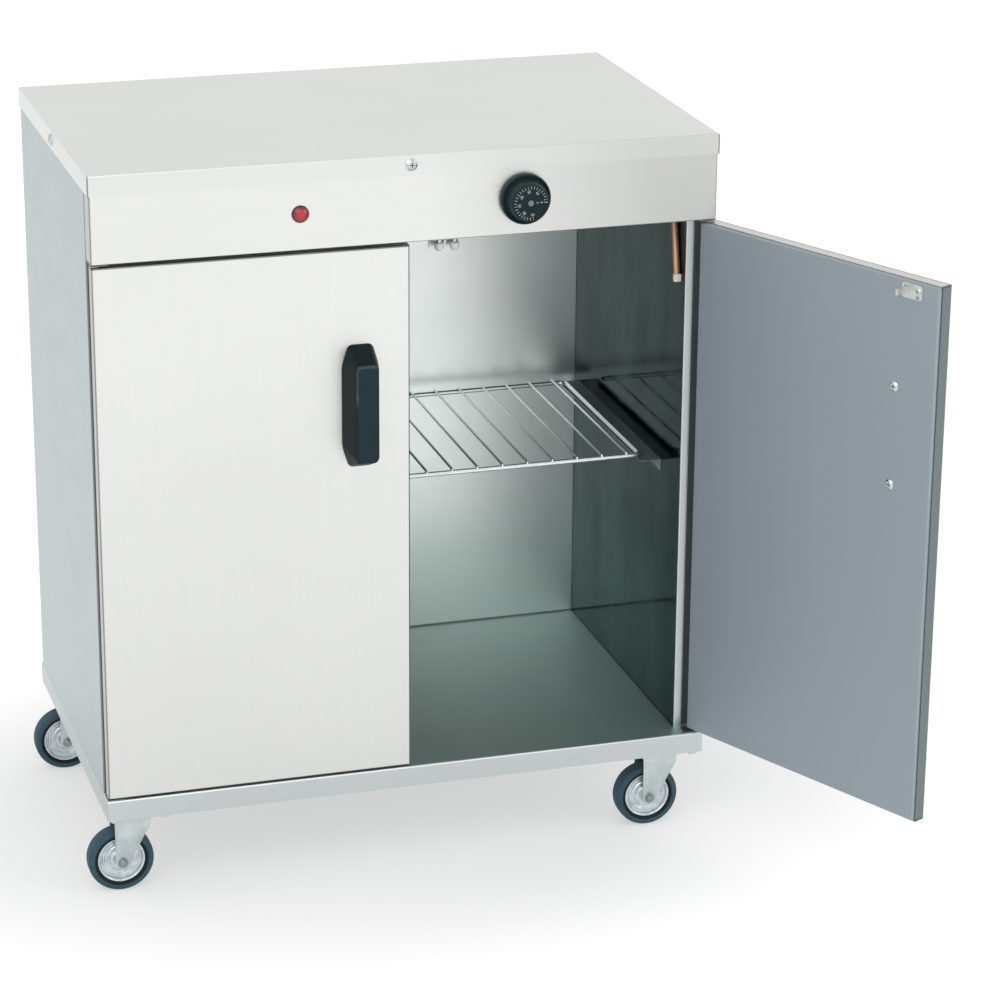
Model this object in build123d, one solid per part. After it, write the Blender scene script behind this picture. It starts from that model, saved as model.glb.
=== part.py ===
"""Two-door heated plate cabinet on four swivel casters.

Millimetres. +Z is up, the doors face -Y and the origin is on the floor, under the middle of the cabinet.
The left door is shut and the right door stands open, which is the rest position of its hinge.
"""
import os
from math import cos, radians, sin

from build123d import *

# Overall sizes
body_width = 750.0
body_depth = 450.0
body_height = 790.0
sheet = 1.0
bend = 2.0
seam = 0.8
slack = 0.2

# Casing
lid_skirt = 24.0
base_skirt = 26.0
panel_drop = 104.0
panel_inset = 1.5
door_back_gap = 2.0
wall_thickness = 30.0
back_thickness = 16.0
wall_flange = 21.0
flange_step = 5.0
liner_flange = 10.0
ceiling_rise = 8.0
liner_overlap = 20.0
header_depth = 24.0
header_height = 14.0
base_plate_thickness = 2.0

# Doors
door_gap_side = 1.0
door_gap_middle = 4.0
door_gap_top = 3.4
door_thickness = 20.0
door_pan_depth = 16.0
door_inner_depth = 14.0
door_nest = 1.3
door_open_angle = 116.0
hinge_from_edge = 5.0
hinge_from_face = 10.0
hinge_pin_radius = 3.0
hinge_pin_length = 14.0
hinge_plate_width = 21.0
hinge_plate_depth = 18.0
hinge_plate_thickness = 1.5
bush_radius = 4.2
bush_flange_radius = 5.4
bush_flange = 0.8
bush_length = 6.0
running_gap = 0.3
running_fit = 0.05

# Door handles
handle_from_middle = 62.0
handle_drop = 188.6
handle_length = 150.0
handle_width = 45.0
handle_depth = 36.0
handle_face_width = 26.0
handle_face_length = 114.0
handle_corner = 8.0
handle_corner_length = 26.0
handle_wall = 3.5
handle_recess_length = 94.0
handle_round = 3.0
handle_side_round = 4.0
handle_face_corner = 5.0
handle_screw_pitch = 118.0
handle_screw_depth = 12.0
screw_radius = 2.4
screw_head_radius = 6.0
screw_head_height = 2.8

# Door catches
catch_from_middle = 52.0
catch_plate_width = 38.0
catch_plate_depth = 20.0
catch_plate_thickness = 1.5
catch_reach = 13.0
roller_radius = 5.5
roller_height = 8.0
roller_gap = 7.5
roller_drop = 5.0
roller_pin_radius = 1.5
roller_pin_head = 1.0
strike_width = 30.0
strike_height = 18.0
strike_lead = 5.0
strike_thickness = 1.2
tongue_width = 4.4
tongue_height = 7.0
tongue_length = 17.5
strike_hole_radius = 2.2
strike_screw_radius = 3.8

# Controls
control_rise = 43.0
knob_from_middle = 136.0
lamp_from_middle = 131.0
knob_skirt_radius = 30.0
knob_skirt_height = 7.0
knob_skirt_gap = 1.5
knob_grip_radius = 24.5
knob_face_radius = 21.0
knob_grip_height = 17.0
knob_bore_depth = 16.0
shaft_radius = 3.0
shaft_length = 38.0
shaft_flat = 1.8
shaft_flat_length = 9.0
bushing_radius = 5.0
bushing_length = 4.0
knob_recess_radius = 8.0
knob_recess_depth = 3.5
thermostat_width = 42.0
thermostat_height = 46.0
thermostat_depth = 34.0
lamp_bezel_radius = 10.2
lamp_bezel_height = 1.6
lamp_lens_radius = 9.4
lamp_lens_height = 4.5
lamp_stem_radius = 4.5
lamp_body_radius = 6.0
lamp_body_length = 30.0
bulb_radius = 3.5
bulb_wall_gap = 0.5
bulb_front = 42.0
bulb_lean = 19.0
bulb_drop = 88.0
clip_height = 9.0
clip_lip = 0.8

# Shelf
shelf_rise = 336.0
shelf_front = 105.0
shelf_back_gap = 29.0
shelf_side_gap = 20.0
bar_radius = 3.0
rod_radius = 1.6
rod_pitch = 32.0
rod_weld = 0.6
shelf_corner = 7.0
runner_width = 27.0
runner_leg = 15.0
runner_overhang = 14.0

# Heater and insulation
element_radius = 4.2
element_bend = 30.0
element_side_gap = 102.0
element_end_gap = 105.0
element_bar_gap = 60.0
element_clip_width = 12.0
element_clip_height = 4.0
insulation_gap = 0.3
top_insulation = 20.0
control_bay_depth = 75.0

# Back connections
gland_from_side = 75.0
gland_rise = 40.0
gland_bore_radius = 4.0
gland_thread_radius = 8.0
gland_hex = 22.0
terminal_width = 60.0
terminal_depth = 22.0
terminal_height = 18.0

# Panel screws
panel_screw_radius = 2.0
panel_screw_head_radius = 7.2
panel_screw_head_height = 3.2
panel_screw_length = 8.0
back_screw_rows = 4
back_screw_edge = 9.5

# Casters
plate_recess = 2.0
caster_margin = 1.0
caster_trail = 20.0
wheel_radius = 40.0
tyre_width = 23.0
tyre_depth = 11.0
tyre_shoulder = 5.0
rim_width = 18.0
rim_web = 3.0
hub_radius = 8.0
hub_width = 30.0
axle_radius = 4.0
axle_head_radius = 7.0
axle_head_height = 4.5
axle_nut_height = 5.0
fork_sheet = 2.5
hub_gap = 1.0
fork_crown_radius = 18.0
fork_crown_gap = 14.0
fork_leg_front = 22.0
fork_leg_back = 15.0
fork_boss_radius = 11.0
race_radius = 18.0
race_height = 8.5
kingpin_radius = 5.0
kingpin_head_radius = 9.0
kingpin_head_height = 3.0
caster_plate = 76.0
caster_plate_thickness = 3.0
caster_bolt_pitch = 60.0
caster_bolt_radius = 3.0
caster_bolt_head = 4.0
caster_bolt_hex = 10.0

# Places worked out from the sizes above
half_width = body_width / 2
half_depth = body_depth / 2
skin_x = half_width - sheet
skin_y = half_depth - sheet
crown_bottom = 2 * wheel_radius + fork_crown_gap
crown_top = crown_bottom + fork_sheet
plate_bottom = crown_top + race_height
caster_height = plate_bottom + caster_plate_thickness
base_bottom = caster_height - plate_recess
floor_top = base_bottom + base_skirt
lid_top = base_bottom + body_height
lid_under = lid_top - sheet
skirt_bottom = lid_top - lid_skirt
upright_top = lid_under - (bend - sheet)
panel_bottom = lid_top - panel_drop
control_height = panel_bottom + control_rise
panel_half_width = half_width - panel_inset
door_face = -skin_y
door_back = door_face + door_thickness
liner_x = half_width - wall_thickness
liner_back_y = half_depth - back_thickness
liner_front = door_back + door_back_gap
carcass_front = liner_front + sheet + flange_step
panel_depth = liner_front - door_face
ceiling_z = panel_bottom + ceiling_rise
bulb_bottom = ceiling_z - bulb_drop
header_bottom = ceiling_z - header_height
door_edge = skin_x - door_gap_side
door_bottom = floor_top + hinge_plate_thickness + bush_flange + running_gap
door_top = panel_bottom - door_gap_top
door_middle = door_gap_middle / 2
handle_height = door_top - handle_drop
hinge_x = door_edge - hinge_from_edge
hinge_y = door_face + hinge_from_face
handle_front = door_face - handle_depth
catch_y = door_back + catch_reach
roller_pitch = 2 * roller_radius + roller_gap
roller_top = header_bottom - catch_plate_thickness - roller_drop
tongue_z = roller_top - roller_height / 2
knob_back = -skin_y - knob_skirt_gap
shelf_height = floor_top + shelf_rise
shelf_half_width = liner_x - shelf_side_gap
shelf_front_y = -half_depth + shelf_front
shelf_back_y = liner_back_y - shelf_back_gap
runner_top = shelf_height - bar_radius - running_gap
gland_from_middle = half_width - gland_from_side
gland_height = ceiling_z + gland_rise
base_plate_z = caster_height
element_half_width = liner_x - element_side_gap
element_half_depth = half_depth - element_end_gap
caster_x = skin_x - caster_margin - caster_plate / 2
caster_y = skin_y - caster_margin - caster_plate / 2
tyre_inner_radius = wheel_radius - tyre_depth
fork_inside = hub_width + 2 * hub_gap


def block(x0, x1, y0, y1, z0, z1):
    """A box between two opposite corners."""
    centre = Pos((x0 + x1) / 2, (y0 + y1) / 2, (z0 + z1) / 2)
    return centre * Box(abs(x1 - x0), abs(y1 - y0), abs(z1 - z0))


def rod_z(radius, x, y, z0, z1):
    """A cylinder along Z."""
    return Pos(x, y, (z0 + z1) / 2) * Cylinder(radius, z1 - z0)


def rod_y(radius, x, z, y0, y1):
    """A cylinder along Y."""
    return Pos(x, (y0 + y1) / 2, z) * Rot(90, 0, 0) * Cylinder(radius, y1 - y0)


def rod_x(radius, y, z, x0, x1):
    """A cylinder along X."""
    return Pos((x0 + x1) / 2, y, z) * Rot(0, 90, 0) * Cylinder(radius, x1 - x0)


def prism_z(points, z0, z1):
    """A polygon in the XY plane carried from z0 to z1."""
    return Pos(0, 0, z0) * extrude(make_face(Polyline(*points, close=True)), z1 - z0)


def turned(points):
    """A profile of (radius, height) points turned about Z."""
    profile = make_face(Plane.XZ * Polyline(*points, close=True))
    return revolve(profile, Axis.Z)


def mirrored(shape):
    """The same piece on the other side of the cabinet."""
    return mirror(shape, about=Plane.YZ)


def folded_tray(width, depth, height, corner=seam):
    """A sheet with four skirts folded down: face at z = 0, skirts to -height, corners open as narrow seams."""
    outer = Pos(0, 0, -height / 2) * Box(width, depth, height)
    outer = fillet(outer.faces().sort_by(Axis.Z)[-1].edges(), bend)
    inner = Pos(0, 0, -height / 2 - sheet) * Box(width - 2 * sheet, depth - 2 * sheet, height)
    inner = fillet(inner.faces().sort_by(Axis.Z)[-1].edges(), bend - sheet)
    tray = outer - inner
    for side_x in (-1, 1):
        for side_y in (-1, 1):
            x = side_x * (width / 2 - sheet / 2)
            y = side_y * (depth / 2 - sheet - corner / 2)
            tray -= Pos(x, y, -(height + bend) / 2) * Box(sheet * 1.5, corner, height - bend)
    return tray


# Casing


def lid_screw_places():
    """Middle of each lid skirt: place, and the way the head faces."""
    height = (lid_top + skirt_bottom) / 2
    return [
        (Vector(0, -half_depth, height), Vector(0, -1, 0)),
        (Vector(0, half_depth, height), Vector(0, 1, 0)),
        (Vector(-half_width, 0, height), Vector(-1, 0, 0)),
        (Vector(half_width, 0, height), Vector(1, 0, 0)),
    ]


def back_screw_places():
    """Two columns of screws that hold the back panel to the side panels' flanges."""
    low = floor_top + 4 * back_screw_edge
    high = skirt_bottom - 4 * back_screw_edge
    places = []
    for row in range(back_screw_rows):
        height = low + (high - low) * row / (back_screw_rows - 1)
        for side in (-1, 1):
            places.append((Vector(side * (skin_x - sheet - back_screw_edge), skin_y, height), Vector(0, 1, 0)))
    return places


def screw_holes(places, radius):
    """Holes for the screws at these places, deep enough for every sheet they pass."""
    holes = []
    for place, way in places:
        plane = Plane(origin=place, z_dir=way)
        holes.append(plane * Pos(0, 0, -panel_screw_length / 2) * Cylinder(radius, 2 * panel_screw_length))
    return holes


def make_panel_screws():
    screws = []
    for place, way in lid_screw_places() + back_screw_places():
        head = turned([(0, 0), (panel_screw_head_radius, 0), (panel_screw_head_radius, 0.8),
                       (panel_screw_head_radius * 0.6, panel_screw_head_height), (0, panel_screw_head_height)])
        shank = Pos(0, 0, -panel_screw_length / 2) * Cylinder(panel_screw_radius, panel_screw_length)
        slot = block(-3, 3, -0.5, 0.5, panel_screw_head_height - 0.9, panel_screw_head_height + 1)
        screws.append(Plane(origin=place, z_dir=way) * (head + shank - slot - Rot(0, 0, 90) * slot))
    return Compound(children=screws)


def cut_screws(shape):
    """The sheet with clearance holes for the panel screws."""
    for hole in screw_holes(lid_screw_places() + back_screw_places(), panel_screw_radius + running_fit):
        shape = shape - hole
    return shape


def make_lid():
    return cut_screws(Pos(0, 0, lid_top) * folded_tray(body_width, body_depth, lid_skirt))


def make_base_tray():
    return Pos(0, 0, floor_top) * folded_tray(body_width, body_depth, base_skirt)


def make_base_plate():
    """Carries the casters and closes the heater's space from below."""
    width = body_width - 2 * sheet - 2 * slack
    depth = body_depth - 2 * sheet - 2 * slack
    rise = floor_top - bend - base_plate_z
    plate = Pos(0, 0, base_plate_z + rise / 2) * Box(width, depth, rise)
    wall = 2 * base_plate_thickness
    plate -= Pos(0, 0, base_plate_z + base_plate_thickness + rise / 2) * Box(width - wall, depth - wall, rise)
    for x, y in caster_bolt_places():
        plate -= rod_z(caster_bolt_radius + running_fit, x, y, base_plate_z - 1, base_plate_z + 3)
    return plate


def make_side_panel():
    """Right outer wall: a channel open towards the middle, with a foot flange on the base."""
    front, back = carcass_front, skin_y - sheet
    shell = block(skin_x - wall_flange, skin_x, front, back, floor_top, upright_top)
    upright = shell.edges().filter_by(Axis.Z).sort_by(Axis.X)[-2:]
    shell = fillet(upright, bend)
    hollow = block(skin_x - wall_flange - 1, skin_x - sheet, front + sheet, back - sheet,
                   floor_top + sheet, lid_under + 1)
    inner_upright = hollow.edges().filter_by(Axis.Z).sort_by(Axis.X)[-2:]
    return cut_screws(shell - fillet(inner_upright, bend - sheet))


def make_back_panel():
    edge = skin_x - sheet - slack
    panel = block(-edge, edge, skin_y - sheet, skin_y, floor_top + slack, upright_top)
    panel -= rod_y(gland_thread_radius + running_fit, -gland_from_middle, gland_height, 0, half_depth + 1)
    return cut_screws(panel)


def make_control_panel():
    """Front panel under the lid: a tray on edge with two holes. Its side returns reach back to the walls."""
    height = upright_top - panel_bottom
    tray = folded_tray(2 * panel_half_width, height, panel_depth + sheet + flange_step)
    panel = Pos(0, -skin_y, panel_bottom + height / 2) * Rot(90, 0, 0) * tray
    between = panel_half_width - sheet
    panel -= block(-between, between, liner_front, carcass_front + 1, panel_bottom - 1, upright_top + 1)
    panel -= rod_y(bushing_radius + running_fit, knob_from_middle, control_height, -half_depth, -skin_y + 5)
    panel -= rod_y(lamp_body_radius + running_fit, -lamp_from_middle, control_height, -half_depth, -skin_y + 5)
    return cut_screws(panel)


def make_liner():
    """Right inner wall: its front flange turns back on itself and meets the outer wall's flange."""
    top = ceiling_z + liner_overlap
    end = liner_x + liner_flange
    shell = block(liner_x, end, liner_front, liner_back_y + sheet, floor_top, top)
    shell = fillet(shell.edges().filter_by(Axis.Z).group_by(Axis.Y)[0], bend - sheet / 2)
    hollow = block(liner_x + sheet, end - sheet, liner_front + sheet, liner_back_y + 2 * sheet,
                   floor_top - 1, top + 1)
    behind = block(liner_x + sheet, end + 1, carcass_front, liner_back_y + 2 * sheet, floor_top - 1, top + 1)
    return shell - hollow - behind


def make_liner_back():
    edge = liner_x - slack
    top = ceiling_z + liner_overlap
    return block(-edge, edge, liner_back_y, liner_back_y + sheet, floor_top, top)


def make_ceiling():
    edge = liner_x - slack
    panel = block(-edge, edge, liner_front + sheet, liner_back_y - slack, ceiling_z, ceiling_z + sheet)
    return panel - rod_z(bulb_radius + 1, bulb_x(), bulb_y(ceiling_z), ceiling_z - 5, ceiling_z + 5)


def make_header():
    """Folded bar over the doorway that carries the catches."""
    edge = liner_x - slack
    front = liner_front
    bar = block(-edge, edge, front, front + header_depth, header_bottom, ceiling_z)
    return bar - block(-edge - 1, edge + 1, front + sheet, front + header_depth + 1,
                       header_bottom + sheet, ceiling_z + 1)


def make_insulation():
    """Mineral wool slabs in the walls and over the ceiling."""
    gap = insulation_gap
    low, high = floor_top + sheet + gap, ceiling_z - gap
    side = block(liner_x + sheet + gap, skin_x - sheet - gap, carcass_front + sheet + gap,
                 liner_back_y - gap, low, high)
    back = block(-liner_x + gap, liner_x - gap, liner_back_y + sheet + gap, skin_y - 2 * sheet - gap, low, high)
    top = block(-liner_x + 3 * gap, liner_x - 3 * gap, carcass_front + control_bay_depth,
                liner_back_y - 2 * gap, ceiling_z + sheet + gap, ceiling_z + sheet + top_insulation)
    return Compound(children=[side, mirrored(side), back, top])


# Doors, modelled shut on the right-hand side


def door_centre_x():
    return (door_middle + door_edge) / 2


def handle_screw_heights():
    return [handle_height - handle_screw_pitch / 2, handle_height + handle_screw_pitch / 2]


def make_door_pan():
    width, height = door_edge - door_middle, door_top - door_bottom
    tray = Rot(90, 0, 0) * folded_tray(width, height, door_pan_depth)
    pan = Pos(door_centre_x(), door_face, (door_top + door_bottom) / 2) * tray
    pan -= rod_z(bush_radius + running_fit, hinge_x, hinge_y, door_bottom - 1, door_bottom + bush_length)
    pan -= rod_z(bush_radius + running_fit, hinge_x, hinge_y, door_top - bush_length, door_top + 1)
    for height in handle_screw_heights():
        pan -= rod_y(screw_radius + running_fit, handle_from_middle, height, door_face - 1, door_face + 3)
    return pan


def make_door_inner():
    """Inner skin of the door, nested inside the pan's returns."""
    width = door_edge - door_middle - 2 * door_nest
    height = door_top - door_bottom - 2 * door_nest
    tray = Rot(-90, 0, 0) * folded_tray(width, height, door_inner_depth)
    inner = Pos(door_centre_x(), door_back, (door_top + door_bottom) / 2) * tray
    reach = bush_radius + 1
    for end in (door_bottom, door_top):
        inner -= block(hinge_x - reach, door_edge, door_face, hinge_y + reach, end - hinge_pin_length - 1,
                       end + hinge_pin_length + 1)
    for height in handle_screw_heights():
        inner -= rod_y(screw_radius + running_fit, handle_from_middle, height, door_back - 3, door_back + 1)
    return inner


def make_door_bushes():
    """Flanged nylon bushes for the hinge pins."""
    profile = [(hinge_pin_radius + running_fit, -bush_flange), (bush_flange_radius, -bush_flange),
               (bush_flange_radius, 0), (bush_radius, 0), (bush_radius, bush_length),
               (hinge_pin_radius + running_fit, bush_length)]
    lower = Pos(hinge_x, hinge_y, door_bottom) * turned(profile)
    upper = Pos(hinge_x, hinge_y, door_top) * Rot(180, 0, 0) * turned(profile)
    return Compound(children=[lower, upper])


def handle_outline(width, length, corner, corner_length, y):
    """Eight-cornered outline of the handle at one distance from the door."""
    x, z = width / 2, length / 2
    points = [(-x, -z + corner_length), (-x + corner, -z), (x - corner, -z), (x, -z + corner_length),
              (x, z - corner_length), (x - corner, z), (-x + corner, z), (-x, z - corner_length)]
    outline = Polyline(*[(px, y, pz) for px, pz in points], close=True)
    return make_face(outline)


def make_handle():
    """Moulded shell handle: solid at both screws, open to the fingers on the side away from the hinge."""
    base = handle_outline(handle_width, handle_length, handle_corner, handle_corner_length, 0)
    face = handle_outline(handle_face_width, handle_face_length, handle_face_corner, handle_face_corner * 2,
                          -handle_depth)
    body = loft([base, face], ruled=True)
    sides = [edge for edge in body.edges() if -handle_depth + 0.5 < edge.center().Y < -0.5]
    body = fillet(sides, handle_side_round)
    front = body.faces().sort_by(Axis.Y)[0]
    body = fillet(front.edges(), handle_round)
    slope = (handle_width - handle_face_width) / 2
    wall_back = handle_width / 2 - handle_wall
    floor = handle_depth - handle_wall
    recess = prism_z([(-handle_width, 1), (wall_back, 1), (wall_back - slope, -floor), (-handle_width, -floor)],
                     -handle_recess_length / 2, handle_recess_length / 2)
    body -= recess
    for side in (-1, 1):
        body -= rod_y(screw_radius + running_fit, 0, side * handle_screw_pitch / 2, -handle_screw_depth - 1, 1)
    return Pos(handle_from_middle, door_face, handle_height) * body


def make_handle_screws():
    screws = []
    for height in handle_screw_heights():
        shank = rod_y(screw_radius, handle_from_middle, height, door_face - handle_screw_depth, door_back)
        head = turned([(0, 0), (screw_head_radius, 0), (screw_head_radius, 0.9),
                       (screw_head_radius * 0.62, screw_head_height), (0, screw_head_height)])
        slot = block(-3.2, 3.2, -0.6, 0.6, screw_head_height - 1.1, screw_head_height + 1)
        head = Rot(-90, 0, 0) * (head - slot - Rot(0, 0, 90) * slot)
        screws.append(shank + Pos(handle_from_middle, door_back, height) * head)
    return Compound(children=screws)


def make_strike():
    """Tongue that runs between the catch rollers, on a plate held by one screw towards the free edge."""
    x = catch_from_middle
    end = x + strike_lead
    plate = block(end - strike_width, end, door_back, door_back + strike_thickness,
                  tongue_z - strike_height / 2, tongue_z + strike_height / 2)
    plate = fillet(plate.edges().filter_by(Axis.Y), 4)
    stem = tongue_length - tongue_width
    half = tongue_width / 2
    tongue = prism_z([(-half, 0), (half, 0), (half, stem), (0.6, tongue_length),
                      (-0.6, tongue_length), (-half, stem)],
                     -tongue_height / 2, tongue_height / 2)
    strike = plate + Pos(x, door_back, tongue_z) * tongue
    screw_x = end - strike_width + strike_screw_radius + 2
    hole_z = tongue_z - strike_height * 0.33
    strike -= rod_y(strike_hole_radius, screw_x + 1, hole_z, door_back - 1, door_back + 3)
    screw_z = tongue_z + strike_height * 0.14
    return strike + Pos(screw_x, door_back + strike_thickness, screw_z) * dome(strike_screw_radius, 1.8)


def dome(radius, height):
    """A low round screw head that faces +Y."""
    profile = [(0, 0), (radius, 0), (radius, height * 0.4), (radius * 0.6, height), (0, height)]
    return Rot(-90, 0, 0) * turned(profile)


def opened(shape):
    """The right door's piece, swung open about its hinge pins."""
    turn = Pos(hinge_x, hinge_y, 0) * Rot(0, 0, door_open_angle) * Pos(-hinge_x, -hinge_y, 0)
    return turn * shape


def make_hinge_plates():
    """Plates with a pin: two stand on the base and two hang under the control panel."""
    x1 = skin_x - slack
    y0 = door_face + 1
    plates = []
    for z, way in ((floor_top, 1), (panel_bottom, -1)):
        face = z + way * hinge_plate_thickness
        plate = block(x1 - hinge_plate_width, x1, y0, y0 + hinge_plate_depth, z, face)
        plate = fillet(plate.edges().filter_by(Axis.Z), 3)
        end = face + way * hinge_pin_length
        pin = rod_z(hinge_pin_radius, hinge_x, hinge_y, min(face, end) - 0.1, max(face, end) + 0.1)
        plates += [plate + pin, mirrored(plate + pin)]
    return Compound(children=plates)


def catch_sides():
    return [-catch_from_middle, catch_from_middle]


def roller_places():
    return [(x + side * roller_pitch / 2, catch_y) for x in catch_sides() for side in (-1, 1)]


def make_catch_brackets():
    """Plate under the header with two pins that carry the rollers."""
    top = header_bottom
    bottom = top - catch_plate_thickness
    brackets = []
    for x in catch_sides():
        half = catch_plate_width / 2
        body = block(x - half, x + half, catch_y - 7, catch_y + catch_plate_depth - 7, bottom, top)
        back = catch_y + catch_plate_depth - 7
        plate_front = back - catch_plate_thickness
        body += block(x - half, x + half, plate_front, back, roller_top - roller_height, bottom)
        body += block(x - 2, x + 2, catch_y + roller_radius + 1.5, back, roller_top - roller_height + 1, bottom)
        for side in (-1, 1):
            px = x + side * roller_pitch / 2
            foot = roller_top - roller_height - running_gap
            body += rod_z(roller_pin_radius, px, catch_y, foot, bottom + 0.1)
            body += rod_z(roller_pin_radius + 1.4, px, catch_y, foot - roller_pin_head, foot)
            body += rod_z(roller_pin_radius + 2.0, px, catch_y, roller_top + running_gap, bottom + 0.1)
        brackets.append(body)
    return Compound(children=brackets)


def make_catch_rollers():
    rollers = []
    for x, y in roller_places():
        bore = roller_pin_radius + running_fit
        edge = 0.8
        profile = [(bore, 0), (roller_radius - edge, 0), (roller_radius, edge),
                   (roller_radius, roller_height - edge), (roller_radius - edge, roller_height),
                   (bore, roller_height)]
        rollers.append(Pos(x, y, roller_top - roller_height) * turned(profile))
    return Compound(children=rollers)


# Controls


def bulb_x():
    return liner_x - bulb_wall_gap - bulb_radius


def bulb_y(z):
    """The sensing bulb leans a little towards the front as it goes down."""
    share = (ceiling_z - z) / (ceiling_z - bulb_bottom)
    return -half_depth + bulb_front + bulb_lean * (1 - share)


def make_thermostat_body():
    x, z = knob_from_middle, control_height
    y0 = -skin_y + sheet
    half_w, half_h = thermostat_width / 2, thermostat_height / 2
    body = block(x - half_w, x + half_w, y0 + 2, y0 + thermostat_depth, z - half_h, z + half_h)
    body = fillet(body.edges().filter_by(Axis.Y), 3)
    body += rod_y(bushing_radius * 1.8, x, z, y0, y0 + 3)
    body += rod_y(bushing_radius, x, z, y0 - bushing_length, y0 + 3)
    for row in (-1, 1):
        tab_z = z + row * half_h * 0.5
        tab_y = y0 + thermostat_depth
        body += block(x - 3, x + 3, tab_y - 1, tab_y + 8, tab_z - 0.4, tab_z + 0.4)
    return body - rod_y(shaft_radius + running_fit, x, z, y0 - bushing_length - 1, y0 + thermostat_depth * 0.6)


def make_thermostat_shaft():
    x, z = knob_from_middle, control_height
    end = -skin_y + sheet + thermostat_depth * 0.6 - running_gap
    shaft = rod_y(shaft_radius, x, z, end - shaft_length, end)
    front = end - shaft_length
    return shaft - block(x - 4, x + 4, front - 1, front + shaft_flat_length, z + shaft_flat, z + 4)


def make_knob():
    """Skirted knob: a wide dished skirt and a round grip with a flat dial face."""
    skirt, grip, face = knob_skirt_radius, knob_grip_radius, knob_face_radius
    step = knob_skirt_height
    top = knob_skirt_height + knob_grip_height
    profile = [(0, 0), (skirt - 0.8, 0), (skirt, 0.8), (skirt, step - 3), (skirt - 0.8, step - 1.4),
               (skirt - 2.4, step - 0.6), (grip + 1.2, step - 0.4), (grip + 0.3, step + 0.4),
               (grip, step + 1.6),
               (face + 0.4, top - 1.6), (face - 0.2, top - 0.5), (face - 1.4, top), (0, top)]
    knob = turned(profile)
    bore = Pos(0, 0, knob_bore_depth / 2 - 1) * Cylinder(shaft_radius + running_fit, knob_bore_depth + 2)
    flat_end = knob_bore_depth - shaft_flat_length + 1
    flat = block(-4, 4, shaft_flat + running_fit, 4, flat_end, knob_bore_depth + 1)
    knob -= bore
    knob -= Pos(0, 0, knob_recess_depth / 2 - 1) * Cylinder(knob_recess_radius, knob_recess_depth + 2)
    knob += flat & (Pos(0, 0, knob_bore_depth / 2) * Cylinder(shaft_radius + 0.5, knob_bore_depth))
    return Pos(knob_from_middle, knob_back, control_height) * Rot(90, 0, 0) * knob


def make_thermostat_bulb():
    """Copper sensing bulb down the right wall, with its thin capillary to the thermostat."""
    top = Vector(bulb_x(), bulb_y(ceiling_z + 14), ceiling_z + 14)
    bottom = Vector(bulb_x(), bulb_y(bulb_bottom), bulb_bottom)
    bulb = along(bottom, top, bulb_radius)
    bend_at = Vector(bulb_x(), top.Y, control_height - 4)
    end = Vector(knob_from_middle + thermostat_width / 2, top.Y, control_height - 4)
    rise = along(top - Vector(0, 0, 1), bend_at, 1.0)
    run = along(bend_at, Vector(end.X - 20, end.Y, end.Z), 1.0)
    drop_y = -skin_y + sheet + thermostat_depth - 1
    join = along(Vector(end.X - 20, end.Y, end.Z), Vector(end.X - 20, drop_y + 1.0, end.Z), 1.0)
    turns = ((bend_at.X, bend_at.Y, bend_at.Z), (end.X - 20, end.Y, end.Z))
    corners = [Pos(*point) * Sphere(1.0) for point in turns]
    return bulb + rise + run + join + corners[0] + corners[1]


def along(start, end, radius):
    """A round rod from one point to another."""
    way = end - start
    return Plane(origin=start, z_dir=way) * Pos(0, 0, way.length / 2) * Cylinder(radius, way.length)


def make_bulb_clip():
    """Clip on the right wall that holds the lower end of the bulb."""
    x, z = bulb_x(), bulb_bottom
    y = bulb_y(z)
    reach = bulb_radius + clip_lip
    clip = block(x - reach, liner_x, y - reach, y + reach, z - clip_height / 2, z + clip_height / 2)
    clip = fillet(clip.edges().filter_by(Axis.Z).sort_by(Axis.X)[:2], reach - 1)
    top = Vector(x, bulb_y(ceiling_z), ceiling_z)
    return clip - along(Vector(x, y, z), top, bulb_radius + running_fit)


def make_lamp_body():
    """Bezel in front of the panel and barrel behind it."""
    x, z, face = -lamp_from_middle, control_height, -skin_y
    body = rod_y(lamp_body_radius, x, z, face - 1, face + lamp_body_length)
    body += Pos(x, face, z) * Rot(90, 0, 0) * turned(
        [(0, 0), (lamp_bezel_radius, 0), (lamp_bezel_radius, lamp_bezel_height * 0.5),
         (lamp_bezel_radius - 1, lamp_bezel_height), (0, lamp_bezel_height)])
    body += rod_y(lamp_bezel_radius, x, z, face + sheet, face + sheet + 4)
    return body - rod_y(lamp_stem_radius, x, z, face - lamp_bezel_height - 1, face + 4)


def make_lamp_lens():
    x, z, face = -lamp_from_middle, control_height, -skin_y - lamp_bezel_height
    rise = lamp_lens_height
    sphere_radius = (lamp_lens_radius ** 2 + rise ** 2) / (2 * rise)
    ball = Pos(0, 0, rise - sphere_radius) * Sphere(sphere_radius)
    cap = ball & Pos(0, 0, rise) * Cylinder(lamp_lens_radius + 1, 2 * rise)
    stem = Pos(0, 0, -1.5) * Cylinder(lamp_stem_radius - running_fit, 3.2)
    return Pos(x, face, z) * Rot(90, 0, 0) * (cap + stem)


def make_terminal_block():
    x0, z0 = -gland_from_middle + 30, ceiling_z + sheet + top_insulation
    y1 = liner_back_y - 10
    body = block(x0, x0 + terminal_width, y1 - terminal_depth, y1, z0, z0 + terminal_height)
    ways = 5
    for way in range(ways):
        x = x0 + terminal_width * (way + 0.5) / ways
        body -= rod_z(2.6, x, y1 - terminal_depth / 2, z0 + terminal_height - 6, z0 + terminal_height + 1)
    return body


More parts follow.
